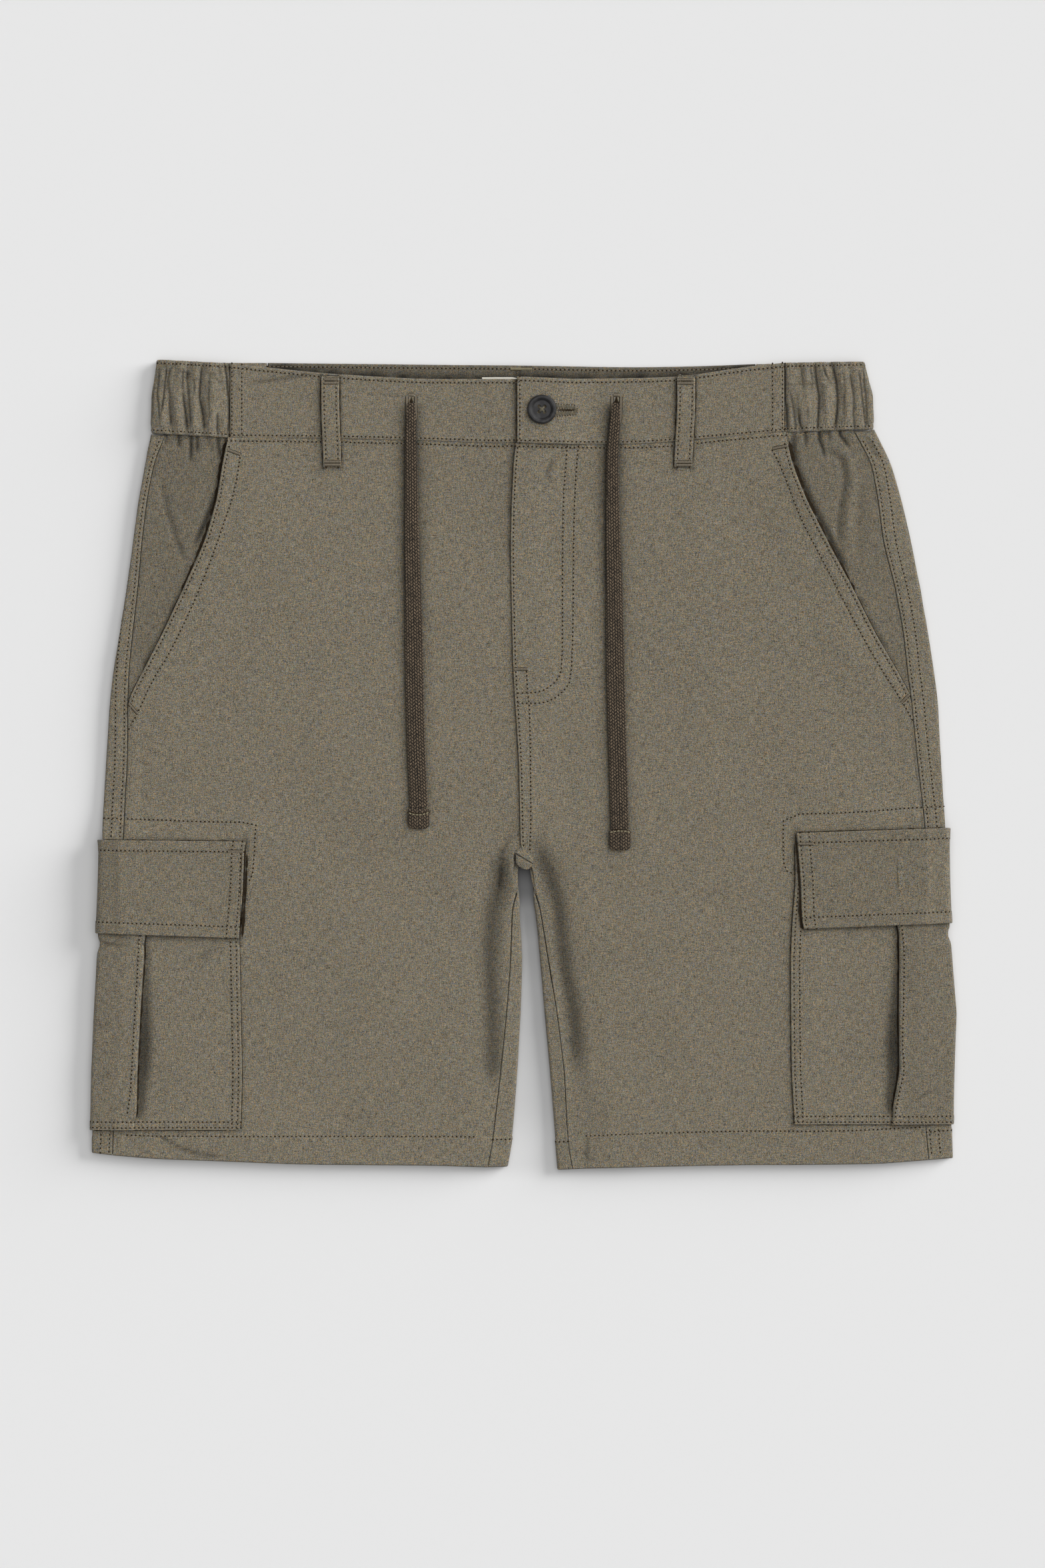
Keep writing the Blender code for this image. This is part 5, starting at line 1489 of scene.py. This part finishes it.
# %% Machine stitches
PITCH = 2.55
THREAD_RADIUS = 0.19
HOLE = (0.78, 0.50)
PIT_RISE = 0.07
STITCH_SPOTS = np.array([0.10, 0.26, 0.50, 0.74, 0.90])
STITCH_HEIGHTS = np.array([-0.22, 0.05, 0.11, 0.05, -0.22])
NEAR = 0.2


def frames(line, places):
    """Points of a line with the way it runs, the way across it and the way its cloth looks."""
    reached = along(line[:, :3])
    before, spots, after = (at(line, places.reshape(-1) + step * MM, reached) for step in (-NEAR, 0.0, NEAR))
    ahead = unit((after - before)[:, :3].reshape(*places.shape, 3))
    facing = unit(spots[:, 3:].reshape(*places.shape, 3))
    return spots[:, :3].reshape(*places.shape, 3), ahead, np.cross(facing, ahead), facing


def tubes(paths, across, facing, radius, around=5):
    """Points and faces of many open tubes. paths has a row of points for each tube."""
    count, rings = paths.shape[:2]
    angle = np.linspace(0, 2 * math.pi, around, endpoint=False)
    points = (paths[:, :, None] + radius * MM * (np.cos(angle)[:, None] * across[:, :, None]
                                                 + np.sin(angle)[:, None] * facing[:, :, None]))
    faces = tube_faces(rings, around)[None] + (np.arange(count) * rings * around)[:, None, None]
    return points.reshape(-1, 3), faces.reshape(-1, 4)


def discs(middles, ahead, across, facing, size, sides=7):
    """Points and faces of many small flat pits."""
    angle = np.linspace(0, 2 * math.pi, sides, endpoint=False)
    points = (middles[:, None] + facing[:, None] * PIT_RISE * MM
              + size[0] * MM * np.cos(angle)[None, :, None] * ahead[:, None]
              + size[1] * MM * np.sin(angle)[None, :, None] * across[:, None])
    faces = np.arange(len(middles) * sides).reshape(-1, sides)
    return points.reshape(-1, 3), faces


def stitched(lines, pitch=PITCH, radius=THREAD_RADIUS):
    """Tubes and pits of rows of stitches."""
    paths, sides, ups, pit_parts = [], [], [], []
    for line in lines:
        length = along(line[:, :3])[-1]
        count = max(1, int(length / (pitch * MM)))
        places = (np.arange(count)[:, None] + STITCH_SPOTS[None]) * length / count
        spots, _, across, facing = frames(line, places)
        paths.append(spots + facing * (STITCH_HEIGHTS * MM)[None, :, None])
        sides.append(across)
        ups.append(facing)
        ends = np.arange(count + 1) * length / count
        pit_parts.append(np.stack(frames(line, ends), axis=1))
    pit_parts = np.concatenate(pit_parts)
    tube_points, tube_quads = tubes(np.concatenate(paths), np.concatenate(sides), np.concatenate(ups), radius)
    pit_points, pit_faces = discs(*pit_parts.transpose(1, 0, 2), HOLE)
    return tube_points, tube_quads, pit_points, pit_faces


print("stitches ready")

# %% [markdown]
# ## Gaps and dense stitches
# Where an edge stands off the cloth below it, a thin dark strip of uneven width is painted shadow for the gap.
# Bar tacks, the buttonhole and the edges of the cords' slits are threads laid side by side across a line.

# %% Gaps and dense stitches
STRIP_STEP = 0.9
THINNEST_STRIP = 0.04
SATIN_SHAPE = np.array([-1.0, -0.8, 0.0, 0.8, 1.0])
SATIN_HEIGHTS = np.array([-0.2, 0.16, 0.3, 0.16, -0.2])
SATIN_HOLE, SATIN_HOLE_RISE = (0.3, 0.34), 0.22


def strip(line, width, rise=0.05, narrowed=1.0):
    """Painted shadow for the gap along an edge that lies on other cloth: a dark strip of uneven width, narrowed to
    its last end.
    """
    length = along(line[:, :3])[-1]
    count = max(3, round(length / MM / STRIP_STEP))
    places = np.linspace(0, length, count)
    spots, _, across, facing = frames(line, places)
    uneven = 0.75 + 0.35 * waves(places / MM, places * 0, 6, count)
    from_end = np.minimum(np.arange(count), np.arange(count)[::-1])
    half = np.maximum(width / 2 * uneven, THINNEST_STRIP) * np.linspace(1, narrowed, count)
    half = half * np.minimum(1, (0.3 + from_end) / 3)
    side = across * (half * MM)[:, None]
    points = np.stack([spots - side, spots + side], axis=1) + facing[:, None] * rise * MM
    start = np.arange(count - 1) * 2
    faces = np.stack([start, start + 2, start + 3, start + 1], axis=1)
    return np.zeros((0, 3)), [], points.reshape(-1, 3), faces


def satin(line, width, gap=0.5, radius=0.2, zigzag=0.0):
    """Threads laid side by side across a line, as in a bar tack or a buttonhole's edge."""
    length = along(line[:, :3])[-1]
    count = max(2, int(length / (gap * MM)))
    places = (np.arange(count) + 0.5) * length / count
    spots, ahead, across, facing = frames(line, places)
    reach = SATIN_SHAPE * width / 2 * MM
    lean = SATIN_SHAPE * zigzag * MM
    flip = np.where(np.arange(count) % 2 == 0, 1.0, -1.0)[:, None, None]
    paths = (spots[:, None] + across[:, None] * reach[None, :, None]
             + facing[:, None] * (SATIN_HEIGHTS * MM)[None, :, None] + ahead[:, None] * lean[None, :, None] * flip)
    sides, ups = (np.repeat(way[:, None], len(SATIN_SHAPE), axis=1) for way in (ahead, facing))
    tube_points, tube_quads = tubes(paths, sides, ups, radius)
    rims = np.concatenate([paths[:, 0], paths[:, -1]])
    both = [np.concatenate([way, way]) for way in (ahead, across, facing)]
    pit_points, pit_faces = discs(rims + both[2] * SATIN_HOLE_RISE * MM, *both, SATIN_HOLE)
    return tube_points, tube_quads, pit_points, pit_faces


def sewing(name, parts, material):
    """One mesh of thread and pits, riding with its piece."""
    points, faces, kinds = [], [], []
    start = 0
    for tube_points, tube_quads, pit_points, pit_faces in parts:
        for these, around, kind in ((tube_points, tube_quads, 0), (pit_points, pit_faces, 1)):
            points.append(these)
            faces += (np.asarray(around) + start).tolist()
            kinds += [kind] * len(around)
            start += len(these)
    made = mesh_object(name, np.concatenate(points), faces, material, shade_pits)
    made.data.polygons.foreach_set("material_index", kinds)
    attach(made, "root")
    return made


print("gaps and dense stitches ready")

# %% [markdown]
# ## Where the stitches run
# The seams that the eye meets first are the slant pockets, the fly with its curved double row, the felled side
# seams, the hems, and the pockets and flaps with their two rows. Rows that follow a rim come from the grid, the
# others from this table in plan. Bar tacks hold the ends of pocket mouths, flaps and belt loops.

# %% Stitch lines and tacks
SEAM_LINES = {
    "front_left": [
        [(-170.9, 188.2), (-174.1, 166.4), (-181.8, 143.9), (-188.2, 125.3), (-195.9, 106.0), (-203.5, 88.7),
         (-214.0, 67.3), (-224.9, 50.0), (-232.5, 32.6), (-238.6, 21.8)],
        [(-253.5, -32.2), (-224.5, -33.0), (-195.5, -34.3), (-161.6, -34.7), (-162.0, -41.1), (-162.8, -57.2),
         (-164.0, -68.5), (-167.6, -71.3)],
        [(-239.5, -223.9), (-219.2, -224.7), (-54.4, -224.7), (-30, -224.9)],
    ],
    "front_right": [
        [(150.7, 190.2), (156.0, 180.5), (166.8, 151.1), (177.3, 131.0), (190.6, 105.6), (203.9, 80.2),
         (216.0, 58.8), (228.9, 39.1), (235.4, 27.4)],
        [(26.6, 192.6), (25.8, 180.5), (24.2, 161.2), (23.8, 115.7), (23.8, 72.5), (23.0, 54.4), (17.3, 48.0),
         (9.7, 43.9), (-3.0, 43.5)],
        [(33.4, 192.6), (32.2, 180.5), (30.6, 148.3), (30.2, 83.4), (29.0, 51.2), (24.6, 44.7), (17.3, 39.1),
         (9.7, 37.1), (-3.0, 37.5)],
        [(2.0, 56.4), (2.8, 43.5), (3.8, 35.5), (4.4, 11.3), (4.7, -37.1), (4.2, -47.2), (3.8, -53.6)],
        [(255.1, -25.0), (235.8, -25.8), (197.1, -29.0), (157.6, -29.8), (157.2, -45.1), (157.6, -63.3),
         (164.4, -66.1)],
        [(38.3, -224.5), (66.5, -223.1), (135.0, -221.2), (185.8, -221.7), (239.8, -219.2)],
    ],
    "cargo_pocket_left": [
        [(-231.3, -103.2), (-232.1, -106.0), (-232.9, -125.3), (-234.5, -149.9), (-236.2, -181.8),
         (-237.4, -199.5), (-239.0, -210.0)],
    ],
    "cargo_pocket_right": [
        [(228.7, -97.1), (230.1, -110.0), (230.1, -125.3), (229.7, -149.9), (228.9, -167.6), (230.5, -184.6),
         (227.3, -197.5), (224.9, -210.0)],
    ],
}
UNDER_LINES = {"front_left": ("front_left", "back_left"), "front_right": ("front_right", "back_right")}
TACKS = {
    "front_left": [[(-178.5, 190.6), (-170.9, 187.8)], [(-239.0, 37.7), (-233.1, 31.0)]],
    "front_right": [[(151.1, 191.4), (159.6, 193.0)], [(234.1, 43.1), (228.5, 37.5)],
                    [(-7.0, 58.0), (2.8, 58.0)]],
    "cargo_flap_left": [[(-178.5, -52.2), (-168.4, -52.2)]],
    "cargo_flap_right": [[(165.6, -47.6), (175.5, -47.6)]],
}
LOOP_TACKS = {
    "belt_loop_left": [(-120.4, -110.8, 233.2), (-120.4, -110.8, 231.0), (-120.2, -110.4, 183.4),
                       (-120.2, -110.4, 181.6)],
    "belt_loop_right": [(93.2, 102.8, 233.0), (93.2, 102.8, 230.8), (92.6, 102.2, 183.2), (92.6, 102.2, 181.4)],
}
for name, tacks in LOOP_TACKS.items():
    TACKS[name] = [[(x0, y), (x1, y)] for x0, x1, y in tacks]
print("rows in plan", sum(map(len, SEAM_LINES.values())), "tacks", sum(map(len, TACKS.values())))

# %% [markdown]
# ## Where the gaps are
# Most gaps follow a rim, and each is a dark strip of painted shadow. Their rows give the rim, how far outside it
# the gap's middle is, its width, where it starts and stops along the rim, and then, if they aren't the usual
# ones, how high it lies and how narrow it gets. The gap beside the left flap and the cords' slits, whose openings
# are painted dark too, are lines in plan.

# %% Where the gaps are
ALL = (-math.inf, math.inf)
CREVICES = {
    "cargo_pocket": [(1, 0.25, 0.4, ALL), (2, 0.25, 0.3, ALL)],
    "cargo_flap_left": [(1, 0.40, 0.8, ALL, 0.2), (3, 0.30, 0.4, ALL)],
    "cargo_flap_right": [(1, 0.75, 2.1, ALL, 0.35, 0.4), (3, 0.30, 0.4, ALL)],
    "front_left": [(0, 0.30, 0.5, (30, 110)), (0, 0.8, 1.5, (105, 150), 0.2, 1.3),
                   (0, 1.0, 2.2, (150, 197), 0.2)],
    "front_right": [(0, 0.30, 0.5, (30, 110)), (0, 0.8, 1.5, (105, 150), 0.2, 1.3),
                    (0, 1.3, 2.8, (150, 197), 0.2), (1, 0.20, 0.22, (-50, 195))],
    "back": [(0, 0.20, 0.22, (-46, 180)), (0, 0.30, 0.4, (-240, -219))],
    "waistband_front_left": [(0, 0.30, 0.35, ALL)],
    "waistband_front_right": [(0, 0.30, 0.35, ALL), (1, 0.40, 0.6, ALL)],
    "belt_loop": [(0, 0.35, 0.6, ALL), (1, 0.35, 0.6, ALL)],
}
GAPS = {
    "cargo_flap_left": [
        ([(-169.9, -104.2), (-169.0, -92), (-168.0, -78), (-167.2, -62), (-167.0, -54)], 2.1, 0.35, 0.5),
        ([(-169.5, -98), (-168.9, -90), (-168.1, -79)], 2.1, 1.8, 0.5),
    ],
}
SLITS = {
    "waistband_front_left": [((-67.7, 223.0), (-67.7, 209.0))],
    "waistband_front_right": [((56.4, 223.0), (56.0, 207.0))],
}
PLEAT_GAP, PLEAT_GAP_STEP = 1.0, 3
SLIT_WIDTH, SLIT_EDGE, SLIT_EDGE_WIDTH, SLIT_END_WIDTH, SLIT_THREADS = 3.2, 2.7, 1.4, 1.9, 0.42


def gaps_of(name):
    """The dark strips of painted shadow in the gaps along a piece's rims and pleats and in the slits in it, with
    the slits' sewn edges.
    """
    parts = []
    others = [other for other in cloths if other != name and not other.startswith(("belt", "label"))]
    for rim, offset, width, (low, high), *shape in by_start(CREVICES, name, []):
        plan = outside(cloths[name], rim, offset, low, high)
        gap = laid(plan, *others) if len(plan) > 3 else plan
        if len(gap) > 3:
            parts.append(strip(gap, width, *shape))
    parts += [strip(laid(plan, *others), *shape) for plan, *shape in GAPS.get(name, [])]
    if name in pleats:
        parts.append(strip(laid(pleats[name][::PLEAT_GAP_STEP], name), PLEAT_GAP))
    for (x0, y0), (x1, y1) in SLITS.get(name, []):
        middle = [(x0, y0), ((x0 + x1) / 2, (y0 + y1) / 2), (x1, y1)]
        edges = [[(x0 + side, y0), (x1 + side, y1)] for side in (-SLIT_EDGE, SLIT_EDGE)]
        top_end = [(x0 - 1.6, y0 + 0.9), (x0 + 1.6, y0 + 0.9)]
        parts.append(strip(laid(middle, name), SLIT_WIDTH))
        parts += [satin(laid(edge, name), SLIT_EDGE_WIDTH, SLIT_THREADS) for edge in edges]
        parts.append(satin(laid(top_end, name), SLIT_END_WIDTH, SLIT_THREADS))
    return parts


print("gaps along rims", sum(map(len, CREVICES.values())))

# %% [markdown]
# ## Sewing the pieces
# Side seams have two rows from the waist to the pocket, and again below it. The inside leg seams are at the back
# panels' inner ends. The mouth of a slant pocket has one row near its edge.

# %% Sewing the pieces
SIDE_PARTS = ((-46, 197), (-235, -221))
INSEAM_ROWS, INSEAM_PART = (3.0, 8.0), (-60, 196)
HEM_ROW = 17.0
MOUTH_PART, FLY_PART = (38, 194), (-50, 192)
TACK_WIDTH = 1.5


def rows_of(name):
    """The rows of machine stitches of a piece, as lines on the cloth."""
    cloth = cloths[name]
    _, fly_rows, _, upper_rows = cloth.seams
    lines = [laid(line, *UNDER_LINES.get(name, (name,))) for line in SEAM_LINES.get(name, [])]
    if name.startswith("back"):
        lines += [cloth.line(cloth.first, stitch, *part) for part in SIDE_PARTS for stitch in SIDE_SEAM]
        lines += [cloth.line(cloth.last, stitch, *INSEAM_PART) for stitch in INSEAM_ROWS]
        lines.append(cloth.line(cloth.lower, HEM_ROW))
    elif name.startswith("front"):
        lines.append(cloth.line(cloth.first, MOUTH[0], *MOUTH_PART))
        lines.append(cloth.line(cloth.upper, upper_rows[0]))
        lines += [cloth.line(cloth.last, stitch, *FLY_PART) for stitch in fly_rows]
    else:
        for rim, stitches in enumerate(cloth.seams):
            lines += [cloth.line(cloth.rims()[rim], stitch) for stitch in stitches]
    return [line for line in lines if len(line) > 2]


for name in cloths:
    lines = rows_of(name)
    parts = [stitched(lines)] if lines else []
    parts += [satin(laid(tack, *UNDER_LINES.get(name, (name,))), TACK_WIDTH) for tack in TACKS.get(name, [])]
    parts += gaps_of(name)
    if parts:
        made = sewing(name + "_stitches", parts, thread)
        print(name, len(lines), "rows,", len(made.data.polygons), "faces")

# %% [markdown]
# ## Buttonhole, bar tack and cord stitches
# The last of the sewing is the keyhole buttonhole beside the button, which is a close zigzag round a slit painted
# dark, as shade, the bar tack of the belt loop at the back, and the row across each cord's folded end, with a
# painted shadow line at the fold's edge just above it.

# %% Buttonhole, bar tack and cord stitches
HOLE_BAND = "waistband_front_right"
HOLE_ROWS = [[(19.0, 217.1), (25.0, 216.6), (31.6, 216.0)], [(19.0, 211.8), (25.0, 212.4), (31.6, 213.0)]]
HOLE_END = [(31.6, 216.0), (31.6, 212.9)]
HOLE_SLIT = [(19.6, 214.5), (25.0, 214.5), (31.0, 214.5)]
HOLE_WIDTH, HOLE_THREADS, HOLE_RADIUS, HOLE_ZIGZAG = 2.6, 0.80, 0.2, 0.24
BACK_TACK = [(-7.7, 239.8), (5.2, 239.8)]
TIP_ROWS = {
    "drawcord_left": [(-69.3, -28.9), (-66.5, -29.9), (-63.1, -30.3), (-59.8, -29.8), (-57.0, -28.6)],
    "drawcord_right": [(52.3, -40.9), (55.4, -40.1), (58.5, -39.9), (61.6, -40.1), (64.7, -40.7)],
}
TIP_PITCH, TIP_RADIUS, TIP_SPACING, TIP_FOLD = 1.9, 0.36, 0.5, 0.9

parts = [satin(laid(row, HOLE_BAND), HOLE_WIDTH, HOLE_THREADS, HOLE_RADIUS, HOLE_ZIGZAG) for row in HOLE_ROWS]
parts += [satin(laid(HOLE_END, HOLE_BAND), 1.9, 0.55), strip(laid(HOLE_SLIT, HOLE_BAND), 1.1, 0.25)]
sewing("buttonhole_stitches", parts, hole_thread)
sewing("back_loop_tack", [satin(laid(BACK_TACK, "waistband_back"), 1.7, 0.42)], pale_thread)
for name, row in TIP_ROWS.items():
    trees[name] = surface_tree(tips[name])
    row_line = laid(row, name, spacing=TIP_SPACING)
    fold_line = laid([(x, y + TIP_FOLD) for x, y in row], name, spacing=TIP_SPACING)
    parts = [stitched([row_line], TIP_PITCH, TIP_RADIUS), strip(fold_line, 0.7, 0.1)]
    sewing(name.replace("cord", "cord_tip") + "_stitches", parts, pale_thread)
print("buttonhole, bar tack and cord ends sewn")

# %% [markdown]
# ## Crotch
# Below the last stitches of the fly the four leg panels meet. The turned ends of the inside leg seams show there
# as a small folded patch between the legs, with one slanting seam and a notch at its left. It is a small grid
# between an upper and a lower line, whose last rows turn down over its edge. The seam's line, the notch, the
# turned-down rows and, a little, the part below the seam are painted darker, as shade. Its weave is turned a
# little.

# %% Crotch fold
PATCH_TOP = [(-5.4, -53.0), (-4.2, -52.2), (-2.6, -50.6), (-1.0, -49.6), (2.0, -50.0), (5.0, -54.5),
             (6.0, -57.0)]
PATCH_BOTTOM = [(-5.4, -58.0), (-4.8, -58.9), (-2.4, -61.6), (0, -62.9), (1.6, -63.3), (3.0, -63.3),
                (4.2, -62.4), (6.0, -59.6)]
PATCH_SEAM = [(-5.4, -53.2), (-1.5, -55.4), (2.0, -57.6), (6.2, -60.0)]
PATCH_LEFT, PATCH_RIGHT = -5.4, 6.0
PATCH_COLUMNS, PATCH_ROWS = 61, 57
PATCH_LEVEL, UNDER_LEVEL = 5.75, 0.2
PATCH_TURN, PATCH_END = 0.86, 0.88
SIDES_DROP, SEAM_DROP = 0.45, 0.6

x, row = np.meshgrid(np.linspace(PATCH_LEFT, PATCH_RIGHT, PATCH_COLUMNS), np.linspace(0, 1, PATCH_ROWS))
top, bottom = np.interp(x, *zip(*PATCH_TOP)), np.interp(x, *zip(*PATCH_BOTTOM))
over_edge = soft(row, PATCH_TURN, 1.0)
y = top + (bottom - top) * np.minimum(row / PATCH_END, 1.0)
seam = np.interp(x, *zip(*PATCH_SEAM)) - y
z = PATCH_LEVEL - SIDES_DROP * soft(np.abs(x - 0.4), 3.4, 5.8) - SEAM_DROP * bell(seam, 0.45)
z = z * (1 - over_edge) + UNDER_LEVEL * over_edge
notch = (1 - soft(x, -4.7, -4.0)) * soft(seam, 0.0, 0.6)
# Painted shade: the seam's line, the notch, the turned-down rows and the part below the seam.
dark_parts = [0.85 * bell(seam, 0.40), 0.96 * notch, 0.70 * over_edge, 0.12 * soft(seam, 0, 2)]
corner = (np.arange(PATCH_ROWS - 1)[:, None] * PATCH_COLUMNS + np.arange(PATCH_COLUMNS - 1)[None]).reshape(-1)
below = corner + PATCH_COLUMNS
patch_points = np.stack([x, y, z], axis=-1).reshape(-1, 3) * MM
patch_faces = np.stack([corner, below, below + 1, corner + 1], axis=1)
patch = mesh_object("crotch_fold", patch_points, patch_faces, outer_cloth)
store(patch, "cloth", np.stack([x * 0.8 + y * 0.6, y * 0.8 - x * 0.6, x * 0], axis=-1).reshape(-1, 3))
store(patch, "rim", np.full(x.size, NO_RIM))
store(patch, "shade", np.maximum.reduce(dark_parts).reshape(-1))
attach(patch, "root")
print("crotch fold", len(patch.data.polygons), "faces")

# %% [markdown]
# ## Button
# The button is moulded resin, near black with faint grey swirls and a soft shine. Its solid already has its rim
# and its four holes, so it stays and only gets the material.


# %% Button
def resin_material():
    shader = Shader("button_resin", roughness=0.42, specular=0.35)
    place = shader.place()
    swirl = shader.noise(place, 240.0, 3.0)
    colour = shader.mix(swirl.above(0.35, 0.7), srgb(29, 28, 29), srgb(52, 51, 51))
    shader.set("Base Color", colour)
    shader.set("Roughness", 0.34 + swirl * 0.2)
    shader.bump(shader.noise(place, 900.0, 1.0), 0.03 * MM, 0.4)
    return shader.material


button_resin = resin_material()
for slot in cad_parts["button"].material_slots:
    slot.material = button_resin
print("button", button_resin.name)

# %% [markdown]
# ## Thread through the button
# A few crossed turns of the buttonhole's thread hold the button. They run from hole to hole on the slant, some
# one way and some the other, and dip into the holes at both ends.

# %% Thread through the button
BUTTON_CENTRE = (11.3, 214.8)
HOLE_REACH = 1.65
THREAD_LEVEL, SECOND_WAY_LOWER = 11.75, 0.12
TURN_SHARES = np.array([-0.8, -0.55, 0.0, 0.55, 0.8])
TURN_HEIGHTS = np.array([-1.3, -0.25, 0.1, -0.25, -1.3])
TURN_SHIFTS, ACROSS_SHIFT = (-0.34, 0.0, 0.34), 0.7
TURN_RADIUS = 0.22

turns_made = []
for way in (1, -1):
    for shift in TURN_SHIFTS:
        x = BUTTON_CENTRE[0] + HOLE_REACH * TURN_SHARES - shift * way * ACROSS_SHIFT
        y = BUTTON_CENTRE[1] + HOLE_REACH * TURN_SHARES * way + shift * ACROSS_SHIFT
        z = THREAD_LEVEL + TURN_HEIGHTS + SECOND_WAY_LOWER * (way > 0)
        turns_made.append(np.stack([x, y, z], axis=1) * MM)
paths = np.array(turns_made)
ahead = unit(np.gradient(paths, axis=1))
across = unit(np.cross(np.broadcast_to((0.0, 0.0, 1.0), ahead.shape), ahead))
points, quads = tubes(paths, across, np.cross(ahead, across), TURN_RADIUS, 6)
crossed = mesh_object("button_thread", points, quads, hole_thread)
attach(crossed, "root")
print("button thread", len(turns_made), "turns")

# %% [markdown]
# ## Back loop
# The belt loop at the back lies between the shorts and the surface, so its plain solid stays and wears the same
# cloth.

# %% Back loop
hidden_cloth = linen("slub_cloth_hidden", on_grid=False)
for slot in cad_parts["belt_loop_back"].material_slots:
    slot.material = hidden_cloth
